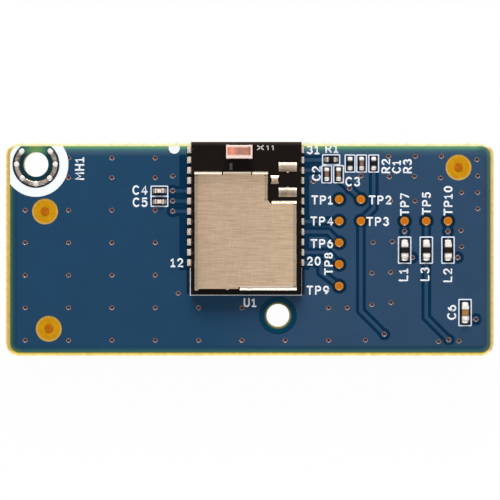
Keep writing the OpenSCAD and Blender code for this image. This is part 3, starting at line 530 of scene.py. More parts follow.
def finish_piece(name, shape, material, slot, *stands_for):
    """Makes a bmesh a smooth new piece of the card; the bmesh is used up."""
    bmesh.ops.recalc_face_normals(shape, faces=shape.faces)
    mesh = bpy.data.meshes.new(name)
    shape.to_mesh(mesh)
    shape.free()
    mesh.shade_smooth()
    mesh.materials.append(material)
    piece = bpy.data.objects.new(name, mesh)
    bpy.context.scene.collection.objects.link(piece)
    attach(piece, "root")
    if stands_for:
        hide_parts(*stands_for)


def join_shapes(shapes):
    """One bmesh of several, each with the matrix that places it; the shapes are used up."""
    joined = bmesh.new()
    for shape, place in shapes:
        mesh = bpy.data.meshes.new("part")
        shape.to_mesh(mesh)
        shape.free()
        mesh.transform(place)
        joined.from_mesh(mesh)
        bpy.data.meshes.remove(mesh)
    return joined


def fill_holes(shape):
    """Closes the open edges of a bmesh."""
    bmesh.ops.holes_fill(shape, edges=[e for e in shape.edges if e.is_boundary])


def tinned_material(name, bright, dull, scale, depth=0.004, metallic=1.0, specular=0.5):
    """Bright metal with duller clouds."""
    material, wires = new_material(name, Metallic=metallic, Specular_IOR_Level=specular)
    metal = wires.tinned(bright, dull, scale)
    wires.surface(metal["Color"], metal["Roughness"], metal["Height"], depth)
    return material


def matt_material(name, colour, scale, amount, roughness, depth=0.003, specular=0.3):
    """Mottled ceramic, resin or plastic."""
    material, wires = new_material(name, Specular_IOR_Level=specular)
    cloud = wires.mottle(scale, amount)
    wires.surface(wires.tint(colour, cloud), wires.times(cloud, roughness), cloud, depth)
    return material


# Bands of the laminate in millimetres, from the card's edge, from a fiducial's middle or along an axis
RIM_FADE = (0.0, 0.3)
NEAR_RIM_FADE = (0.05, 0.3)
FAR_RIM_FADE = (0.1, 0.42)
RIM_END = (0.65, 0.8)
RIGHT_RIM = (CARD_HIGH.x - 1.2, CARD_HIGH.x - 0.8)
NEAR_RIM = (CARD_LOW.y + 0.4, CARD_LOW.y + 0.9)
FAR_RIM = (CARD_HIGH.y - 0.9, CARD_HIGH.y - 0.4)
FACE_SKIN = (HALF_CORE - 0.02, HALF_CORE - 0.005)
WINDOW_RIM = (WINDOW_RADIUS - 0.28, WINDOW_RADIUS - 0.12)
WINDOW_EDGE = (WINDOW_RADIUS, WINDOW_RADIUS + 0.1)

# Grain of the laminate: pitch of the weave, stretch of the plies, and the swing that each gives
WEAVE_PITCH = 0.45
PLIES = (1.5, 1.5, 14.0)
PLY_LEVELS = (0.2, 0.8)
PLY_SHADES = (0.9, 1.08)
PLY_ROUGHNESS = (0.48, 0.68)
LAMINATE_WEAVE = (0.97, 1.03)
MASK_WEAVE = (0.985, 1.015)
COPPER_ROUGHNESS = 0.35


class CARD_OT_dress_laminate(Operator):
    """Finish the laminate and the edges of the copper foil"""

    bl_idname = "card.dress_laminate"
    bl_label = "Dress laminate"

    def execute(self, context):
        looks = context.scene.card_finish
        material, wires = new_material("laminate", Specular_IOR_Level=0.12)
        point, x, y, z = wires.place()
        inset = wires.group("Card border")["Inset"]
        # Painted highlight: the rim is paler at its rounded routed edge, and paler again on the antenna side,
        # where the key lamp stands
        amber = wires.most(wires.step(inset, *RIM_FADE), wires.step(x, *RIGHT_RIM, to_high=0.8))
        rim = wires.mix(amber, looks.laminate_edge_highlight, looks.laminate)
        near = wires.mix(wires.step(inset, *NEAR_RIM_FADE), looks.laminate_edge_highlight, looks.laminate_near)
        rim = wires.mix(wires.fall(y, *NEAR_RIM), rim, near)
        far = wires.mix(wires.step(inset, *FAR_RIM_FADE), looks.laminate_lit, looks.laminate_yellow)
        rim = wires.mix(wires.step(y, *FAR_RIM), rim, far)
        off = wires.off_boxes(centres("fiducial_dots"))
        window = wires.mix(wires.step(off, *WINDOW_RIM), looks.laminate_amber, looks.laminate_ring)
        # Painted shade: away from the fiducial windows the laminate's face, seen only in narrow mask gaps, is
        # dark as shade
        bare = wires.mix(wires.step(off, *WINDOW_EDGE), window, looks.laminate_shaded)
        face = wires.mix(wires.step(inset, *RIM_END), rim, bare)
        on_face = wires.step(wires.apart(z, CARD_MIDDLE), *FACE_SKIN)
        body = wires.mix(on_face, looks.laminate_cut, face)
        weave = wires.group("Glass weave", Pitch=WEAVE_PITCH)["Height"]
        plies = wires.noise(wires.vector("MULTIPLY", point, PLIES)[0], 1.0, detail=2.0)
        grain = wires.times(
            wires.mottle(scale=1.4, amount=0.1), wires.step(plies, *PLY_LEVELS, *PLY_SHADES),
            wires.step(weave, 0.0, 1.0, *LAMINATE_WEAVE),
        )
        rough = wires.step(plies, *PLY_LEVELS, *PLY_ROUGHNESS)
        wires.surface(wires.tint(body, grain), rough, wires.plus(weave, plies), depth=0.006)
        dress(material, "card_laminate")

        material, wires = new_material("copper", Metallic=1.0)
        cloud = wires.mottle(scale=3.0, amount=0.2)
        wires.surface(wires.tint(looks.copper, cloud), wires.times(cloud, COPPER_ROUGHNESS))
        dress(material, "foil_top", "foil_bottom")
        return {"FINISHED"}


# Bands of the mask in millimetres, from the card's edge, from a hole or part, or along an axis
FOIL_STEP = [MASK_HIGH.z - CARD_MIDDLE - share * MASK_DIP for share in (0.6, 0.4)]
LIT_BORDER = (CARD_HIGH.y - 2.4, CARD_HIGH.y - 1.0)
LIT_END = (CARD_HIGH.x - 2.2, CARD_HIGH.x - 0.9)
LEFT_BORDER = (CARD_LOW.x + 1.2, CARD_LOW.x + 2.4)
RIGHT_BORDER = (CARD_HIGH.x - 2.3, CARD_HIGH.x - 1.1)
EDGE_FADE = (0.45, 1.05)
BORDER_END = (1.1, 1.7)
HOLE_BORDER = (2.7, 3.0)
HOLE_SIDE = (0.2, 1.5)
HOLE_CROWN = (0.9, 1.6)
LOCATING_FRINGE = (LOCATING_RADIUS, LOCATING_RADIUS + 0.3)
LOCATING_BORDER = (LOCATING_RADIUS + 0.6, LOCATING_RADIUS + 0.9)
WARM_FIELD = (18.0, 34.0)
FOIL_GLOW = (CARD_HIGH.y - 1.75, CARD_HIGH.y - 1.15)
# Reach of the painted shadow beside chips, test pads and the module's lands, and its depth
CHIP_SHADOW = (0.02, 0.3)
PAD_SHADOW = (0.58, 0.86)
MODULE_SHADOW = (0.0, 0.16)
TOP_HALF = (CARD_MIDDLE - 0.1, CARD_MIDDLE + 0.1)
SHADOW_DEPTH = 0.85

# Roughness of the mask, and the share of its fine mottle in its relief
MASK_ROUGHNESS = 0.3
MASK_RELIEF = 0.6


class CARD_OT_dress_mask(Operator):
    """Finish the solder mask: blue over foil, darker in the gaps, teal outside the foil"""

    bl_idname = "card.dress_mask"
    bl_label = "Dress mask"

    def execute(self, context):
        looks = context.scene.card_finish
        material, wires = new_material("solder_mask", Specular_IOR_Level=0.06)
        _, x, y, z = wires.place()
        inset = wires.group("Card border")["Inset"]
        lit = wires.times(wires.step(y, *LIT_BORDER), wires.step(x, *LIT_END, to_low=1.0, to_high=0.2))
        edge = wires.mix(wires.fall(x, *LEFT_BORDER), looks.mask_edge, looks.mask_edge_left)
        edge = wires.mix(wires.step(x, *RIGHT_BORDER), edge, looks.mask_edge_right)
        edge = wires.mix(lit, edge, looks.mask_edge_lit)
        border = wires.mix(lit, looks.mask_border, looks.mask_border_lit)
        border = wires.mix(wires.step(inset, *EDGE_FADE), edge, border)
        gap = wires.mix(wires.step(inset, *BORDER_END), border, looks.mask_gap)
        side = wires.step(wires.apart(x), *HOLE_SIDE)
        crown = wires.mix(side, looks.mask_hole_lit, looks.mask_hole_side)
        crown = wires.mix(wires.step(y, *HOLE_CROWN), looks.mask_hole, crown)
        gap = wires.mix(wires.fall(wires.off_boxes([MOUNTING_HOLE]), *HOLE_BORDER), gap, crown)
        off = wires.off_boxes([LOCATING_HOLE])
        fringe = wires.mix(wires.step(off, *LOCATING_FRINGE), looks.mask_fringe, looks.mask_locating)
        gap = wires.mix(wires.fall(off, *LOCATING_BORDER), gap, fringe)
        foil = wires.mix(wires.step(x, *WARM_FIELD), looks.mask_blue, looks.mask_warm)
        foil = wires.mix(wires.step(y, *FOIL_GLOW, to_high=0.75), foil, looks.mask_glow)
        over_foil = wires.step(wires.apart(z, CARD_MIDDLE), *FOIL_STEP)
        colour = wires.mix(over_foil, gap, foil)
        chips = [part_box(name + "_ends") for name in CHIP_BODIES]
        # Painted shadow: the mask on the upper face darkens beside the chips, the test pads and the module's
        # lands
        shadow = wires.most(
            wires.fall(wires.off_boxes(chips), *CHIP_SHADOW, SHADOW_DEPTH),
            wires.fall(wires.off_boxes(centres("test_pads")), *PAD_SHADOW, SHADOW_DEPTH),
            wires.fall(wires.off_boxes([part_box("module_lands")]), *MODULE_SHADOW, SHADOW_DEPTH),
        )
        shadow = wires.times(shadow, wires.step(z, *TOP_HALF))
        colour = wires.mix(shadow, colour, looks.mask_shaded)
        weave = wires.group("Glass weave", Pitch=WEAVE_PITCH)["Height"]
        fine = wires.mottle(scale=5.0, amount=0.1)
        grain = wires.times(
            wires.mottle(scale=0.25, amount=0.12), fine, wires.step(weave, 0.0, 1.0, *MASK_WEAVE),
        )
        height = wires.plus(weave, wires.times(fine, MASK_RELIEF))
        rough = wires.times(fine, MASK_ROUGHNESS)
        wires.surface(wires.tint(colour, grain), rough, height, depth=0.002)
        dress(material, "mask_top", "mask_bottom")
        return {"FINISHED"}


# Bands of a test pad in millimetres: its painted reflection from its middle, and its painted highlight from
# its tip
PAD_SHEEN = (0.24, 0.5)
PAD_HIGHLIGHT = (0.06, 0.18)


class CARD_OT_dress_plating(Operator):
    """Finish via plugs, test pads, fiducial dots and lands"""

    bl_idname = "card.dress_plating"
    bl_label = "Dress plating"

    def execute(self, context):
        looks, parts = context.scene.card_finish, context.scene.part_finish
        material, wires = new_material("test_gold", Metallic=0.3, Specular_IOR_Level=0.1)
        metal = wires.tinned(looks.gold, looks.gold_dull, scale=1.6)
        # Painted reflection: the pad's rim is paler than its middle
        rim = wires.step(wires.off_boxes(centres("test_pads")), *PAD_SHEEN)
        face = wires.mix(rim, metal["Color"], looks.gold_rim_sheen)
        pads = solid_boxes("test_pads")
        # Painted highlight: a pale spot at the near end of each pad
        highlight_tips = [[Vector(((low.x + high.x) / 2, low.y, high.z))] * 2 for low, high in pads]
        face = wires.mix(wires.fall(wires.off_boxes(highlight_tips), *PAD_HIGHLIGHT), face, looks.gold_tip_highlight)
        wires.surface(face, metal["Roughness"], metal["Height"], depth=0.004)
        dress(material, "test_pads")
        dull = tinned_material(
            "fiducial_metal", looks.fiducial, looks.gold_dull, scale=2.4, metallic=0.2, specular=0.1,
        )
        dress(dull, "fiducial_dots")
        dress(matt_material("via_resin", looks.via_resin, scale=4.0, amount=0.3, roughness=0.6), "via_plugs")
        # The ring's land takes the chip lands' painted-shade colour for its dull patches
        dress(tinned_material("ring_land", parts.ring_dark, parts.land_shaded, scale=2.2), "mounting_lands")
        tin = tinned_material("land_tin", parts.tin, parts.tin_dull, scale=2.6)
        dress(tin, "module_lands", "header_lands")
        # Painted shade: the chip lands are darkened as if in the chips' shadow
        shaded = tinned_material("chip_land", parts.land_shaded, parts.land_dark, scale=2.6, metallic=0.5)
        dress(shaded, "chip_lands")
        dress(tinned_material("header_solder", parts.tin, parts.tin_dull, scale=1.2), "header_solder")
        return {"FINISHED"}


def spin_ring(profile, turn, start=0.0, steps=SPIN_STEPS):
    """Shape made by turning a closed profile of radius and height about Z, with its ends filled."""
    ring = bmesh.new()
    verts = [ring.verts.new((radius, 0.0, height)) for radius, height in profile]
    edges = [ring.edges.new(pair) for pair in zip(verts, verts[1:] + verts[:1])]
    whole = turn >= 2 * math.pi
    axis = {"cent": (0, 0, 0), "axis": (0, 0, 1)}
    bmesh.ops.rotate(ring, verts=verts, cent=(0, 0, 0), matrix=Matrix.Rotation(start, 3, "Z"))
    bmesh.ops.spin(ring, geom=verts + edges, angle=turn, steps=steps, use_merge=whole, **axis)
    if not whole:
        fill_holes(ring)
    bmesh.ops.recalc_face_normals(ring, faces=ring.faces)
    return ring


def dome_shape(size):
    """Half an ellipsoid that stands on the floor."""
    dome = bmesh.new()
    bmesh.ops.create_uvsphere(dome, u_segments=DOME_STEPS, v_segments=DOME_STEPS // 2, radius=1.0)
    bmesh.ops.scale(dome, vec=size, verts=dome.verts)
    everything = dome.verts[:] + dome.edges[:] + dome.faces[:]
    bmesh.ops.bisect_plane(dome, geom=everything, plane_co=(0, 0, 0), plane_no=(0, 0, 1), clear_inner=True)
    fill_holes(dome)
    return dome


# Outline of a via's rim: shares of its radius, and heights over its face in thicknesses of the foil
RIM_OUTLINE = [(1.0, -1.0), (1.0, 0.0), (0.8, 0.1), (0.62, -0.15)]
VIA_MOUTH = 2.0

# Painted highlight crescent on a via's rim: its turn and side in degrees, and its skin in thicknesses of the
# foil
CRESCENT_TURN = 170
CRESCENT_SIDE = 270
CRESCENT_SKIN = 0.15


class CARD_OT_plate_vias(Operator):
    """Plate the vias, with a rolled rim on each face of the card and a painted highlight crescent on each
    upper rim
    """

    bl_idname = "card.plate_vias"
    bl_label = "Plate vias"

    def execute(self, context):
        looks = context.scene.card_finish
        boxes = solid_boxes("plated_vias")
        land = (boxes[0][1].x - boxes[0][0].x) / 2
        hole, wall = VIA_HOLE_D / 2 * MM, VIA_WALL * MM
        foil = (VIA_HIGH.z - CARD_HIGH.z) * MM
        low, high = VIA_LOW.z * MM, VIA_HIGH.z * MM
        rim = [(share * land, high + rise * foil) for share, rise in RIM_OUTLINE]
        mouth = rim + [(hole, high - VIA_MOUTH * foil)]
        foot = [(radius, low + high - height) for radius, height in reversed(mouth)]
        barrel = [(hole + wall, low + foil), (hole + wall, high - foil)]
        places = [Matrix.Translation(((a + b) / 2).xy.to_3d()) for a, b in boxes]
        profile = mouth + foot + barrel
        rings = [(spin_ring(profile, 2 * math.pi, steps=VIA_STEPS), place) for place in places]
        material = tinned_material("via_ring", looks.via_shaded, looks.via_deep, scale=1.9, metallic=0.4)
        finish_piece("via_rims", join_shapes(rings), material, "via_plating", "plated_vias")

        # Painted highlight: a paler crescent over the near half of each via's upper rim, where the lamps
        # would light the rim's slope
        skin = CRESCENT_SKIN * foil
        bare = [(radius, height + skin) for radius, height in rim[1:]]
        bare += [(radius, height - skin) for radius, height in reversed(rim[1:])]
        turn, start = math.radians(CRESCENT_TURN), math.radians(CRESCENT_SIDE - CRESCENT_TURN / 2)
        sides = [(spin_ring(bare, turn, start, VIA_STEPS // 2), place) for place in places]
        material = tinned_material("via_highlight_crescent", looks.via_highlight, looks.via_highlight_dull, scale=1.3, metallic=0.5)
        finish_piece("via_highlight_crescents", join_shapes(sides), material, "via_plating")
        return {"FINISHED"}


class CARD_OT_tin_ring(Operator):
    """Run tin round the mounting hole, with a dot of solder at each via of the ring"""

    bl_idname = "card.tin_ring"
    bl_label = "Tin ring"

    def execute(self, context):
        parts, style = context.scene.part_finish, context.scene.solder_style
        dots = [middle.xy for middle, _ in centres("mounting_solder")]
        radius = sum(dot.length for dot in dots) / len(dots)
        angles = sorted(math.atan2(dot.y, dot.x) % (2 * math.pi) for dot in dots)
        gaps = [(b - a) % (2 * math.pi) for a, b in zip(angles, angles[1:] + angles[:1])]
        widest = max(range(len(gaps)), key=gaps.__getitem__)
        start = angles[(widest + 1) % len(angles)]
        floor = LAND_TOP * MM
        crown = arc(radius, floor, style.ring_width / 2, style.ring_rise, start=180, end=0, steps=8)
        tin = spin_ring(crown, 2 * math.pi - gaps[widest], start)
        bright, dull = parts.ring_bright, parts.ring_dark
        material = tinned_material("ring_tin", bright, dull, scale=1.7, depth=0.012, metallic=0.7)
        finish_piece("ring_tin", tin, material, "solder")

        size = (style.dot_width / 2, style.dot_length / 2, style.dot_rise)
        lumps = []
        for angle in angles:
            place = Matrix.Rotation(angle, 4, "Z") @ Matrix.Translation((radius, 0, floor))
            lumps.append((dome_shape(size), place))
        material = tinned_material("solder_dot", parts.tin, parts.tin_dull, scale=0.9, metallic=0.2)
        finish_piece("ring_dots", join_shapes(lumps), material, "solder", "mounting_solder")
        return {"FINISHED"}


def arc(x, y, across, up, start, end, steps=9):
    """Points along an ellipse between two angles in degrees."""
    angles = [math.radians(start + (end - start) * i / steps) for i in range(steps + 1)]
    return [(x + across * math.cos(a), y + up * math.sin(a)) for a in angles]


BOWL = [(0, 0), (0, 1), (0.34, 1), *arc(0.34, 0.73, 0.29, 0.27, 90, -90), (0, 0.46)]
NINE = [arc(0.3, 0.68, 0.3, 0.32, 0, 360, 16), arc(0, 0.68, 0.6, 0.68, 0, -62)]

# Strokes of each letter, one unit high: width, then the lines
LETTERS = {
    "0": (0.62, [arc(0.31, 0.5, 0.31, 0.5, 90, 450, 18)]),
    "1": (0.44, [[(0, 0.78), (0.22, 1), (0.22, 0)], [(0, 0), (0.44, 0)]]),
    "2": (0.6, [[*arc(0.3, 0.7, 0.29, 0.3, 165, -30), (0, 0), (0.6, 0)]]),
    "3": (0.6, [[*arc(0.29, 0.75, 0.26, 0.25, 150, -90), *arc(0.29, 0.26, 0.31, 0.26, 80, -150)]]),
    "4": (0.64, [[(0.47, 0), (0.47, 1), (0, 0.28), (0.64, 0.28)]]),
    "5": (0.6, [[(0.55, 1), (0.1, 1), (0.05, 0.54), *arc(0.29, 0.33, 0.31, 0.33, 128, -145)]]),
    "6": (0.6, [[(0.6 - x, 1 - y) for x, y in line] for line in NINE]),
    "7": (0.6, [[(0, 1), (0.6, 1), (0.2, 0)]]),
    "8": (0.6, [arc(0.3, 0.76, 0.26, 0.24, -90, 270, 16), arc(0.3, 0.26, 0.3, 0.26, 90, 450, 16)]),
    "9": (0.6, NINE),
    "C": (0.66, [arc(0.38, 0.5, 0.38, 0.5, 48, 312, 14)]),
    "H": (0.62, [[(0, 0), (0, 1)], [(0.62, 0), (0.62, 1)], [(0, 0.5), (0.62, 0.5)]]),
    "I": (0.36, [[(0.06, 0.82), (0.3, 1), (0.3, 0)]]),
    "L": (0.54, [[(0, 1), (0, 0), (0.54, 0)]]),
    "M": (0.74, [[(0, 0), (0, 1), (0.37, 0.36), (0.74, 1), (0.74, 0)]]),
    "P": (0.63, [BOWL]),
    "R": (0.65, [BOWL, [(0.3, 0.46), (0.65, 0)]]),
    "T": (0.72, [[(0, 1), (0.72, 1)], [(0.36, 1), (0.36, 0)]]),
    "U": (0.62, [[(0, 1), (0, 0.34), *arc(0.31, 0.32, 0.31, 0.32, 180, 360), (0.62, 1)]]),
    "X": (1.5, [[(0, 0), (1.5, 1)], [(0, 1), (1.5, 0)]]),
}

# Words of the legend: middle and letter height in millimetres, and whether the word reads upwards
WORDS = [
    ("MH1", 5.1, -0.5, 1.14, True), ("C4", 12.18, -3.02, 1.14, False), ("C5", 12.2, -4.45, 1.14, False),
    ("12", 16.51, -11.52, 1.08, False), ("U1", 25.07, -16.17, 1.08, False), ("31", 32.46, 1.7, 1.08, False),
    ("R1", 34.66, 1.84, 1.08, False), ("C2", 32.84, -1.09, 1.1, True), ("C3", 37.1, -2.03, 1.14, False),
    ("R2", 40.98, -0.22, 1.08, True), ("C1", 42.22, -0.3, 1.08, True), ("R3", 43.51, -0.22, 1.08, True),
    ("TP1", 33.5, -4.18, 1.08, False), ("TP2", 40.3, -4.18, 1.08, False), ("TP4", 33.48, -6.65, 1.08, False),
    ("TP3", 40.02, -6.7, 1.08, False), ("TP6", 33.48, -9.29, 1.08, False), ("TP8", 34.27, -11.66, 1.06, True),
    ("20", 32.54, -11.34, 1.08, False), ("TP9", 33.0, -14.75, 1.08, False), ("TP7", 43.18, -4.7, 1.08, True),
    ("TP5", 45.74, -4.6, 1.08, True), ("TP10", 48.28, -4.28, 1.08, True), ("L1", 43.04, -12.95, 1.14, True),
    ("L3", 45.56, -12.87, 1.1, True), ("L2", 48.23, -13.0, 1.1, True), ("C6", 48.7, -17.34, 1.12, True),
]
MODULE_WORDS = [("XII", 26.88, 1.92, 0.61, False)]

# Round end of a stroke: how far it reaches and how wide it is there, in shares of the stroke's radius
STROKE_END = [(0.9, 0.4), (0.5, 0.85)]


def word_lines(word, height, gap):
    """Stroke lines of a word about its own middle."""
    lines, at = [], 0.0
    for letter in word:
        width, strokes = LETTERS[letter]
        lines += [[(at + x * height, y * height) for x, y in line] for line in strokes]
        at += width * height + gap
    half = (at - gap) / 2
    return [[(x - half, y - height / 2) for x, y in line] for line in lines]


def stroke_mesh(lines, radius):
    """Mesh of round strokes along lines of points."""
    curve = bpy.data.curves.new("strokes", "CURVE")
    curve.dimensions = "3D"
    curve.bevel_depth = radius
    curve.bevel_resolution = 1
    curve.use_fill_caps = True
    for points in lines:
        points = [Vector((*p, 0.0)) for p in points]
        lead = (points[0] - points[1]).normalized() * radius
        tail = (points[-1] - points[-2]).normalized() * radius
        route = [(points[0] + lead * reach, swell) for reach, swell in STROKE_END]
        route += [(p, 1.0) for p in points]
        route += [(points[-1] + tail * reach, swell) for reach, swell in reversed(STROKE_END)]
        spline = curve.splines.new("POLY")
        spline.points.add(len(route) - 1)
        for end, (place, swell) in zip(spline.points, route):
            end.co = (*place, 1.0)
            end.radius = swell
    maker = bpy.data.objects.new("strokes", curve)
    bpy.context.scene.collection.objects.link(maker)
    mesh = bpy.data.meshes.new_from_object(maker.evaluated_get(bpy.context.evaluated_depsgraph_get()))
    bpy.data.objects.remove(maker)
    bpy.data.curves.remove(curve)
    return mesh


def print_words(words, stroke, spacing, level, ink):
    """Bmesh of printed words on a face at a level."""
    printed = bmesh.new()
    flat = Matrix.Diagonal((1.0, 1.0, 2 * ink / stroke, 1.0))
    for word, x, y, letter, upwards in words:
        mesh = stroke_mesh(word_lines(word, letter * MM - stroke, spacing + stroke), stroke / 2)
        turn = Matrix.Rotation(math.pi / 2 if upwards else 0.0, 4, "Z")
        mesh.transform(Matrix.Translation((x * MM, y * MM, level * MM)) @ turn @ flat)
        printed.from_mesh(mesh)
        bpy.data.meshes.remove(mesh)
    return printed


# Worn patches of the ink, and its bands in millimetres from a chip and from the mounting hole
INK_WEAR = (0.55, 0.8)
INK_ROUGHNESS = (0.6, 0.45)
FRAME_REACH = (0.7, 0.8)
RING_INK_EDGE = (RING_INK - 0.04, RING_INK + 0.04)


def ink_material(name, full, thin, framed, bare):
    """Printed ink with thinner patches, thinner again in the frames round the chips and bare at the ring."""
    material, wires = new_material(name, Specular_IOR_Level=0.2)
    uneven = wires.step(wires.noise(wires.place()[0], scale=4.0), *INK_WEAR)
    colour = wires.mix(uneven, full, thin)
    chips = wires.off_boxes([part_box(chip + "_ends") for chip in CHIP_BODIES])
    colour = wires.mix(wires.fall(chips, *FRAME_REACH), colour, framed)
    colour = wires.mix(wires.fall(wires.off_boxes([MOUNTING_HOLE]), *RING_INK_EDGE), colour, bare)
    wires.surface(colour, wires.step(uneven, 0.0, 1.0, *INK_ROUGHNESS), uneven, depth=0.003)
    return material


class CARD_OT_print_legend(Operator):
    """Finish the printed frames and print the part numbers beside them"""

    bl_idname = "card.print_legend"
    bl_label = "Print legend"

    def execute(self, context):
        looks, style = context.scene.card_finish, context.scene.legend_style
        # At the mounting ring the ink's edge takes the mask's painted-shade colour, widening the dark outline
        # round the ring
        material = ink_material("legend_ink", looks.ink, looks.ink_thin, looks.ink_frame, looks.mask_shaded)
        dress(material, "legend_ink")
        ink = print_words(WORDS, style.stroke, style.spacing, MASK_HIGH.z, style.ink)
        geometry = ink.verts[:] + ink.edges[:] + ink.faces[:]
        edge = (0, MASK_HIGH.y * MM, 0)
        bmesh.ops.bisect_plane(ink, geom=geometry, plane_co=edge, plane_no=(0, 1, 0), clear_outer=True)
        fill_holes(ink)
        finish_piece("legend_numbers", ink, material, "white_ink")

        pale = looks.ink_module
        material = ink_material("module_ink", pale, looks.ink_thin, pale, pale)
        ink = print_words(MODULE_WORDS, style.module_stroke, style.module_spacing, MODULE_HIGH.z, style.ink)
        finish_piece("module_number", ink, material, "white_ink")
        return {"FINISHED"}


# Bands of the module's finishes along X, Y and Z in millimetres
BOARD_FACE = (MODULE_HIGH.z - 0.06, MODULE_HIGH.z - 0.02)
BOARD_SHEEN = (MODULE_HIGH.y - 0.5, MODULE_HIGH.y - 0.1)
CAN_LEFT = (CAN_LOW.x + 0.3, CAN_LOW.x + 2.2)
CAN_RIGHT = (CAN_LOW.x + 5.0, CAN_HIGH.x - 1.0)
CAN_FAR = (CAN_HIGH.y - 2.2, CAN_HIGH.y - 0.8)
CAN_BEND = (CAN_HIGH.z - 0.2, CAN_HIGH.z - 0.01)
CAN_ROLL = (CAN_HIGH.y - 0.34, CAN_HIGH.y - 0.24)
CAN_NEAR = (CAN_LOW.y + 0.48, CAN_LOW.y + 0.56)
LIP_END = (CAN_LOW.x + LIP_LENGTH, CAN_LOW.x + LIP_LENGTH + 0.08)
ANTENNA_FACE = (ANTENNA_HIGH.z - 0.05, ANTENNA_HIGH.z - 0.01)
ANTENNA_FADE = (ANTENNA_LOW.x + 0.7, ANTENNA_LOW.x + 1.4)

# Roughness of the board's mask, of the antenna's glaze, and what the coax lands and folds have more
BOARD_ROUGHNESS = 0.42
GLAZE_ROUGHNESS = 0.35
COAX_DULLNESS = 0.2
FOLD_DULLNESS = 0.12

# Brushing of the can along and across it, its dark and rough streaks, and the painted highlight of its folds
BRUSH_ALONG = (0.5, 9.0, 3.0)
BRUSH_ACROSS = (9.0, 0.7, 3.0)
DARK_STREAKS = (0.45, 1.0)
ROUGH_STREAKS = (0.4, 1.0)
CAN_ROUGHNESS = (0.3, 0.42)
FOLD_START = (0.05, 0.4)
FOLD_FAR = (0.0, 0.3)

# Shares of the cross streaks, of the fine streaks in the relief, and of the folds at the sides
CROSS_STREAKS = 0.4
FINE_STREAKS = 0.5
SIDE_FOLDS = 0.35

# Printed field of the antenna: margins at its low and high edges along X and Y, blur, wobble and clouds; the
# wide margin at the near edge is a painted highlight
FIELD_LOW = (0.14, 0.42)
FIELD_HIGH = (0.2, 0.24)
FIELD_BLUR = 0.1
FIELD_WOBBLE = 0.2
FIELD_CLOUDS = (0.8, 1.1)

# Coax lands: their border of painted highlight along X and Y, its fade and wobble, and shades of the nearest
# and signal lands
COAX_BORDER = (0.3, 0.34, 0.0)
COAX_FADE = (0.0, 0.4)
COAX_WOBBLE = 0.2
LAND_SKIN = (0.0, 0.05)
NEAREST_LAND = 0.76
SIGNAL_LAND = 1.24


class CARD_OT_dress_module(Operator):
    """Finish the module board, its half holes, feed line and coax lands, and the parts inside the can"""

    bl_idname = "card.dress_module"
    bl_label = "Dress module"

    def execute(self, context):
        parts = context.scene.part_finish
        material, wires = new_material("module_mask", Specular_IOR_Level=0.12)
        point, _, y, z = wires.place()
        # Painted sheen: the board's face lightens towards its far edge
        face = wires.mix(wires.step(y, *BOARD_SHEEN, to_high=0.7), parts.board, parts.board_edge)
        colour = wires.mix(wires.step(z, *BOARD_FACE), parts.board_edge, face)
        cloud = wires.mottle(scale=1.1, amount=0.35)
        rough, pits = wires.times(cloud, BOARD_ROUGHNESS), wires.noise(point, scale=6.0)
        wires.surface(wires.tint(colour, cloud), rough, pits, depth=0.004)
        dress(material, "module_board")
        # Painted shade: dark plating in the half holes
        half_hole = tinned_material("half_hole", parts.castellation, parts.solder_dark, scale=2.0)
        dress(half_hole, "module_castellations")

        material, wires = new_material("coax_tin", Metallic=0.6)
        metal = wires.tinned(parts.coax, parts.coax_dull, scale=1.0)
        border = Vector(COAX_BORDER) * MM
        lands = sorted(solid_boxes("coax_lands"), key=lambda box: box[0].y)
        signal = min(lands, key=lambda box: (box[1] - box[0]).length)
        field = wires.off_boxes([[low + border, high - border] for low, high in lands])
        field = wires.plus(field, wires.times(metal["Height"], COAX_WOBBLE))
        # Painted highlight: a paler border round each coax land
        colour = wires.mix(wires.step(field, *COAX_FADE), metal["Color"], parts.coax_rim_highlight)
        level = wires.times(
            wires.step(wires.off_boxes(lands[:1]), *LAND_SKIN, to_low=NEAREST_LAND),
            wires.step(wires.off_boxes([signal]), *LAND_SKIN, to_low=SIGNAL_LAND),
        )
        rough = wires.plus(metal["Roughness"], COAX_DULLNESS)
        wires.surface(wires.tint(colour, level), rough, metal["Height"], depth=0.01)
        dress(material, "coax_lands")
        dress(tinned_material("feed_tin", parts.feed, parts.board_edge, scale=2.0), "antenna_feed")
        dress(matt_material("chip_resin", parts.resin, scale=3.0, amount=0.15, roughness=0.6), "radio_chip")
        dress(tinned_material("crystal_metal", parts.lid, parts.tin_dull, scale=1.2), "crystal")
        ceramic = matt_material("inner_ceramic", parts.brown, scale=3.0, amount=0.15, roughness=0.5)
        dress(ceramic, "inner_capacitors")
        return {"FINISHED"}


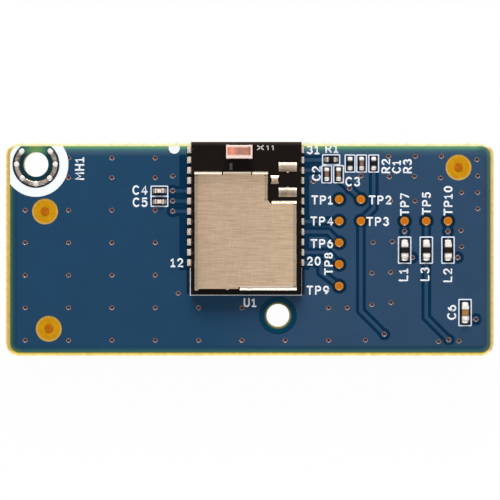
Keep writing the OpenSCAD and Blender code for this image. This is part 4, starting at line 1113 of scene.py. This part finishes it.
class CARD_OT_dress_can(Operator):
    """Finish the shield can: brushed sheet with folds painted paler as highlight, darker where they face the
    antenna edge
    """

    bl_idname = "card.dress_can"
    bl_label = "Dress can"

    def execute(self, context):
        parts = context.scene.part_finish
        material, wires = new_material("nickel_silver", Metallic=1.0)
        _, x, y, z = wires.place()
        lines = wires.group("Brushed", Along=BRUSH_ALONG)
        cross = wires.group("Brushed", Along=BRUSH_ACROSS)
        streak = wires.plus(lines["Streak"], wires.times(cross["Streak"], CROSS_STREAKS))
        colour = wires.mix(wires.step(streak, *DARK_STREAKS), parts.can, parts.can_dark)
        # Tone of the sheet: mottled, darker towards its left and far edges and lighter towards its right
        uneven = wires.times(
            wires.mottle(scale=0.35, amount=0.07), wires.step(x, *CAN_RIGHT, to_low=1.0, to_high=1.07),
            wires.step(x, *CAN_LEFT, to_low=0.9), wires.step(y, *CAN_FAR, to_low=1.0, to_high=0.83),
        )
        aside, ahead, _ = wires.split(wires.add("ShaderNodeTexCoord").outputs["Normal"])
        # Painted highlight on the folds and on strips along the far and near edges; folds facing the antenna
        # edge take a darker painted shade
        facing = wires.most(wires.times(wires.apart(aside), SIDE_FOLDS), wires.apart(ahead))
        fold = wires.step(wires.times(wires.fall(z, *CAN_BEND), facing), *FOLD_START)
        near = wires.times(wires.fall(y, *CAN_NEAR, start=0.9), wires.step(x, *LIP_END))
        fold = wires.most(fold, wires.step(y, *CAN_ROLL, to_high=0.8), near)
        bent = wires.mix(wires.step(ahead, *FOLD_FAR), parts.can_fold_highlight, parts.can_far_fold_shaded)
        colour = wires.mix(fold, wires.tint(colour, uneven), bent)
        rough = wires.step(streak, *ROUGH_STREAKS, *CAN_ROUGHNESS)
        rough = wires.plus(rough, wires.times(fold, FOLD_DULLNESS))
        height = wires.plus(streak, wires.times(lines["Fine"], FINE_STREAKS))
        wires.surface(colour, rough, height, depth=0.005)
        dress(material, "shield_can")
        return {"FINISHED"}


class CARD_OT_dress_antenna(Operator):
    """Finish the chip antenna: pale glaze with a printed field, the glaze widened along the near edge as
    painted highlight
    """

    bl_idname = "card.dress_antenna"
    bl_label = "Dress antenna"

    def execute(self, context):
        parts = context.scene.part_finish
        material, wires = new_material("antenna_glaze", Specular_IOR_Level=0.2)
        point, x, y, z = wires.place()
        wobble = wires.times(wires.math("SUBTRACT", wires.noise(point, scale=2.5), 0.5), FIELD_WOBBLE)
        field = wires.step(z, *ANTENNA_FACE)
        for axis, value in enumerate((x, y)):
            value = wires.plus(value, wobble)
            low, high = ANTENNA_LOW[axis] + FIELD_LOW[axis], ANTENNA_HIGH[axis] - FIELD_HIGH[axis]
            inside = wires.step(value, low - FIELD_BLUR, low + FIELD_BLUR)
            field = wires.times(field, inside, wires.fall(value, high - FIELD_BLUR, high + FIELD_BLUR))
        red = wires.mix(wires.step(x, *ANTENNA_FADE), parts.antenna_red, parts.antenna_tan)
        cloud = wires.mottle(scale=1.6, amount=0.5)
        red = wires.tint(red, wires.step(cloud, *FIELD_CLOUDS, to_low=1.0, to_high=0.72))
        # Painted highlight: the cream rim is widest along the near edge
        colour = wires.mix(field, parts.antenna_rim_and_highlight, red)
        fine = wires.mottle(scale=5.0, amount=0.08)
        wires.surface(wires.tint(colour, fine), wires.times(fine, GLAZE_ROUGHNESS), fine, depth=0.004)
        dress(material, "antenna_body", "antenna_ends")
        return {"FINISHED"}


# Shape of the solder: how much its toe draws in, narrows and droops at the sides
TOE_ROUND = 0.12
TOE_TAPER = 0.07
SIDE_DROOP = 0.3

# Solder of the half holes: its drop to the toe, the curve of the drop, and the bow of its back
MODULE_DROP = 0.94
MODULE_CURVE = 1.6
MODULE_BOW = 0.9

# Solder of the chips: shares of its height on the crown's fall and at the toe, and the curve between them
CHIP_CROWN = 0.08
CHIP_TOE = 0.04
CHIP_CURVE = 1.7

# Finish of the module's solder from its left to its right edge: warm wall in millimetres, and shade
WALL_WIDTH = (0.2, 0.08)
SOLDER_LEVEL = (0.93, 0.8)
HALF_HOLE_EDGE = (0.0, 0.02)

# Thin plating beside a chip's body, in millimetres
THIN_PLATING = (0.05, 0.17)


def solder_shape(back, toe, width, height, bow=0.0):
    """Solder along X from behind a wall at the origin to its toe, under a given outline of heights."""
    solder = bmesh.new()
    bmesh.ops.create_cube(solder, size=1.0)
    bmesh.ops.subdivide_edges(solder, edges=solder.edges[:], cuts=SOLDER_CUTS, use_grid_fill=True)
    for v in solder.verts:
        out, across, up = v.co.x + 0.5, v.co.y * 2, v.co.z + 0.5
        x = (toe + back) * out - back
        v.co.x = x * (1.0 - (TOE_ROUND if x > 0 else bow) * across ** 2)
        v.co.y = width / 2 * across * (1.0 - TOE_TAPER * out ** 3)
        v.co.z = up * height(x) * (1.0 - SIDE_DROOP * across ** 4)
    return solder


class CARD_OT_solder_module(Operator):
    """Run solder into the half holes of the module"""

    bl_idname = "card.solder_module"
    bl_label = "Solder module"

    def execute(self, context):
        parts, style = context.scene.part_finish, context.scene.solder_style
        lumps = []
        for middle, _ in centres("module_castellations"):
            left = middle.x < (MODULE_LOW.x + MODULE_HIGH.x) / 2 * MM
            toe = style.left_toe if left else style.right_toe
            climb = style.module_climb if left else style.right_climb
            edge = (MODULE_LOW.x if left else MODULE_HIGH.x) * MM

            def height(x, toe=toe, climb=climb):
                return climb * (1.0 - MODULE_DROP * max(0.0, x / toe) ** MODULE_CURVE)

            place = Matrix.Translation((edge, middle.y, LAND_TOP * MM))
            turn = Matrix.Rotation(math.pi if left else 0.0, 4, "Z")
            lump = solder_shape(style.module_bite, toe, style.module_width, height, MODULE_BOW)
            lumps.append((lump, place @ turn))
        material, wires = new_material("module_solder", Metallic=0.15)
        metal = wires.tinned(parts.tin, parts.tin_dull, scale=1.4)
        module = wires.off_boxes([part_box("module_board")])
        x = wires.place()[1]
        wall = wires.step(x, MODULE_LOW.x, MODULE_HIGH.x, *WALL_WIDTH)
        bright = wires.tint(metal["Color"], wires.step(x, MODULE_LOW.x, MODULE_HIGH.x, *SOLDER_LEVEL))
        colour = wires.mix(wires.step(module, 0.0, wall), parts.solder_wall, bright)
        # Painted shade: the solder inside the half holes is near-black
        colour = wires.mix(wires.step(module, *HALF_HOLE_EDGE), parts.half_hole_solder_shaded, colour)
        wires.surface(colour, metal["Roughness"], metal["Height"], depth=0.004)
        finish_piece("module_fillets", join_shapes(lumps), material, "solder", "module_solder")
        return {"FINISHED"}


class CARD_OT_dress_chips(Operator):
    """Finish the chip parts and run solder up their ends"""

    bl_idname = "card.dress_chips"
    bl_label = "Dress chips"

    def execute(self, context):
        parts, style = context.scene.part_finish, context.scene.solder_style
        # Colour of each kind of body, scale and amount of its mottle, its roughness and its specular level
        kinds = {
            "ceramic_pale": (parts.pale, 4.0, 0.14, 0.5, 0.3),
            "ceramic_brown": (parts.brown, 4.0, 0.18, 0.5, 0.3),
            "ceramic_ochre": (parts.ochre, 4.0, 0.16, 0.5, 0.3),
            "resistor_black": (parts.resistor, 5.0, 0.2, 0.35, 0.12),
            "ferrite_black": (parts.ferrite, 5.0, 0.25, 0.55, 0.12),
        }
        bodies = {}
        for kind, (colour, scale, amount, roughness, specular) in kinds.items():
            bodies[kind] = matt_material(kind, colour, scale, amount, roughness, specular=specular)
        ends, wires = new_material("chip_tin", Metallic=0.3)
        metal = wires.tinned(parts.chip_end, parts.chip_end_dull, scale=1.8)
        off = wires.off_boxes([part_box(name) for name in CHIP_BODIES])
        colour = wires.mix(wires.fall(off, *THIN_PLATING, start=0.9), metal["Color"], parts.chip_end_dark)
        wires.surface(colour, metal["Roughness"], metal["Height"], depth=0.004)
        across, along = [], []
        for name, finish in CHIP_BODIES.items():
            dress(bodies[finish], name)
            dress(ends, name + "_ends")
            both = solid_boxes(name + "_ends")
            middle = sum((low + high for low, high in both), Vector()) / 2 / len(both)
            for low, high in both:
                out = (low + high) / 2 - middle
                lengthwise = abs(out.x) > abs(out.y)
                size = high - low
                long, wide = (size.x, size.y) if lengthwise else (size.y, size.x)
                large = size.z > LARGE_CHIP * MM
                toe = style.large_toe if large else style.small_toe
                wide *= style.large_width if large else style.small_width
                back = style.wrap * long
                top = size.z + style.cover

                def height(x, top=top, back=back, toe=toe):
                    if x <= 0:
                        return top * (1.0 - CHIP_CROWN * (1.0 + x / back) ** 2)
                    return top * ((1.0 - CHIP_CROWN) * (1.0 - x / toe) ** CHIP_CURVE + CHIP_TOE)

                place = Matrix.Translation((middle.x, middle.y, low.z))
                turn = Matrix.Rotation(math.atan2(out.y, out.x), 4, "Z")
                reach = Matrix.Translation((out.length + long / 2, 0, 0))
                lump = solder_shape(back, toe, wide, height)
                (along if lengthwise else across).append((lump, place @ turn @ reach))
        material = tinned_material("chip_solder", parts.tin, parts.tin_dull, scale=1.6, metallic=0.12)
        finish_piece("chip_fillets", join_shapes(across), material, "solder", "chip_solder")
        dull, dark = parts.solder_dull, parts.solder_dark
        material = tinned_material("dull_solder", dull, dark, scale=2.2, metallic=0.6)
        finish_piece("dull_fillets", join_shapes(along), material, "solder")
        return {"FINISHED"}


class CARD_OT_dress_header(Operator):
    """Finish the pin header on the underside"""

    bl_idname = "card.dress_header"
    bl_label = "Dress header"

    def execute(self, context):
        parts = context.scene.part_finish
        plastic = matt_material(
            "header_plastic", parts.plastic, scale=2.5, amount=0.2, roughness=0.5, depth=0.01,
        )
        dress(plastic, "header_body")
        dress(tinned_material("pin_gold", parts.pin_gold, parts.pin_dull, scale=1.5), "header_pins")
        return {"FINISHED"}


# Floor in metres, its drop below the card in millimetres, the dome's gathering and the camera's sensor
FLOOR_SIZE = 3.0
FLOOR_DROP = 0.05
DOME_POWER = 8.0
SENSOR_WIDTH = 36.0


class CARD_OT_set_stage(Operator):
    """Lay the floor, hang the lamps and stand the camera over the card"""

    bl_idname = "card.set_stage"
    bl_label = "Set stage"

    def execute(self, context):
        scene, studio = context.scene, context.scene.studio
        middle = Vector((studio.view_x, studio.view_y, CARD_HIGH.z * MM))

        plane = bmesh.new()
        bmesh.ops.create_grid(plane, x_segments=1, y_segments=1, size=FLOOR_SIZE)
        below = (middle.x, middle.y, CAD_BOX[0][2] - FLOOR_DROP * MM)
        bmesh.ops.translate(plane, verts=plane.verts, vec=below)
        mesh = bpy.data.meshes.new("floor")
        plane.to_mesh(mesh)
        plane.free()
        floor = bpy.data.objects.new("floor", mesh)
        scene.collection.objects.link(floor)
        material, wires = empty_material("floor")
        matt = wires.add("ShaderNodeBsdfDiffuse", {"Color": studio.floor}).outputs[0]
        glow = wires.add("ShaderNodeEmission", {"Color": WHITE, "Strength": 1.0}).outputs[0]
        path = wires.add("ShaderNodeLightPath").outputs
        seen = wires.most(path["Is Camera Ray"], path["Is Glossy Ray"], path["Is Transmission Ray"])
        share = wires.times(seen, studio.floor_glow)
        blend = wires.add("ShaderNodeMixShader", {0: share, 1: matt, 2: glow}).outputs[0]
        wires.add("ShaderNodeOutputMaterial", {0: blend})
        mesh.materials.append(material)

        for name, power, width, height, angle in (
            ("key", studio.key, studio.key_width, studio.key_height, studio.key_angle),
            ("fill", studio.fill, studio.fill_width, studio.fill_height, math.pi - studio.fill_angle),
        ):
            data = bpy.data.lights.new(name, "AREA")
            data.shape = "RECTANGLE"
            data.size, data.size_y = width, height
            data.energy = power
            lamp = bpy.data.objects.new(name, data)
            scene.collection.objects.link(lamp)
            away = Vector((0, math.cos(angle), math.sin(angle))) * studio.lamp_distance
            lamp.location = middle + away
            lamp.rotation_euler = (-away).to_track_quat("-Z", "Y").to_euler()

        world = bpy.data.worlds.new("studio")
        world.use_nodes = True
        wires = Wiring(world.node_tree)
        across, _, up = wires.split(wires.add("ShaderNodeTexCoord").outputs["Generated"])
        overhead = wires.times(wires.math("POWER", up, DOME_POWER), studio.zenith - studio.horizon)
        dome = wires.plus(overhead, studio.horizon, wires.times(across, across, studio.flank))
        seen = wires.add("ShaderNodeLightPath").outputs["Is Camera Ray"]
        sky = world.node_tree.nodes["Background"].inputs
        wires.put(sky["Color"], WHITE)
        wires.put(sky["Strength"], wires.most(dome, seen))
        scene.world = world

        data = bpy.data.cameras.new("camera")
        data.lens = studio.lens
        data.sensor_width = SENSOR_WIDTH
        camera = bpy.data.objects.new("camera", data)
        scene.collection.objects.link(camera)
        rise = studio.view_width * studio.lens / data.sensor_width
        camera.location = middle + Vector((0, 0, rise))
        scene.camera = camera
        scene.view_settings.view_transform = "Standard"
        return {"FINISHED"}


SETTINGS = {
    "card_finish": CardFinish, "part_finish": PartFinish, "legend_style": LegendStyle,
    "solder_style": SolderStyle, "studio": StudioSettings,
}
OPERATORS = [
    CARD_OT_dress_laminate, CARD_OT_dress_mask, CARD_OT_dress_plating, CARD_OT_plate_vias, CARD_OT_tin_ring,
    CARD_OT_print_legend, CARD_OT_dress_module, CARD_OT_dress_can, CARD_OT_dress_antenna,
    CARD_OT_solder_module, CARD_OT_dress_chips, CARD_OT_dress_header, CARD_OT_set_stage,
]


class CARD_PT_looks(Panel):
    """Steps and settings of the card's looks"""

    bl_idname = "CARD_PT_looks"
    bl_label = "Radio daughter card"
    bl_space_type = "VIEW_3D"
    bl_region_type = "UI"
    bl_category = "Card"

    def draw(self, context):
        for step in OPERATORS:
            self.layout.operator(step.bl_idname)
        for name, group in SETTINGS.items():
            box = self.layout.box()
            for key in group.__annotations__:
                box.prop(getattr(context.scene, name), key)


CLASSES = [*SETTINGS.values(), *OPERATORS, CARD_PT_looks]


def register():
    for made in CLASSES:
        bpy.utils.register_class(made)
    for name, group in SETTINGS.items():
        setattr(bpy.types.Scene, name, PointerProperty(type=group))


def unregister():
    for name in SETTINGS:
        delattr(bpy.types.Scene, name)
    for made in reversed(CLASSES):
        bpy.utils.unregister_class(made)


def main():
    register()
    make_groups()
    bpy.ops.card.dress_laminate()
    bpy.ops.card.dress_mask()
    bpy.ops.card.dress_plating()
    bpy.ops.card.plate_vias()
    bpy.ops.card.tin_ring()
    bpy.ops.card.print_legend()
    bpy.ops.card.dress_module()
    bpy.ops.card.dress_can()
    bpy.ops.card.dress_antenna()
    bpy.ops.card.solder_module()
    bpy.ops.card.dress_chips()
    bpy.ops.card.dress_header()
    bpy.ops.card.set_stage()


if __name__ == "__main__":
    main()
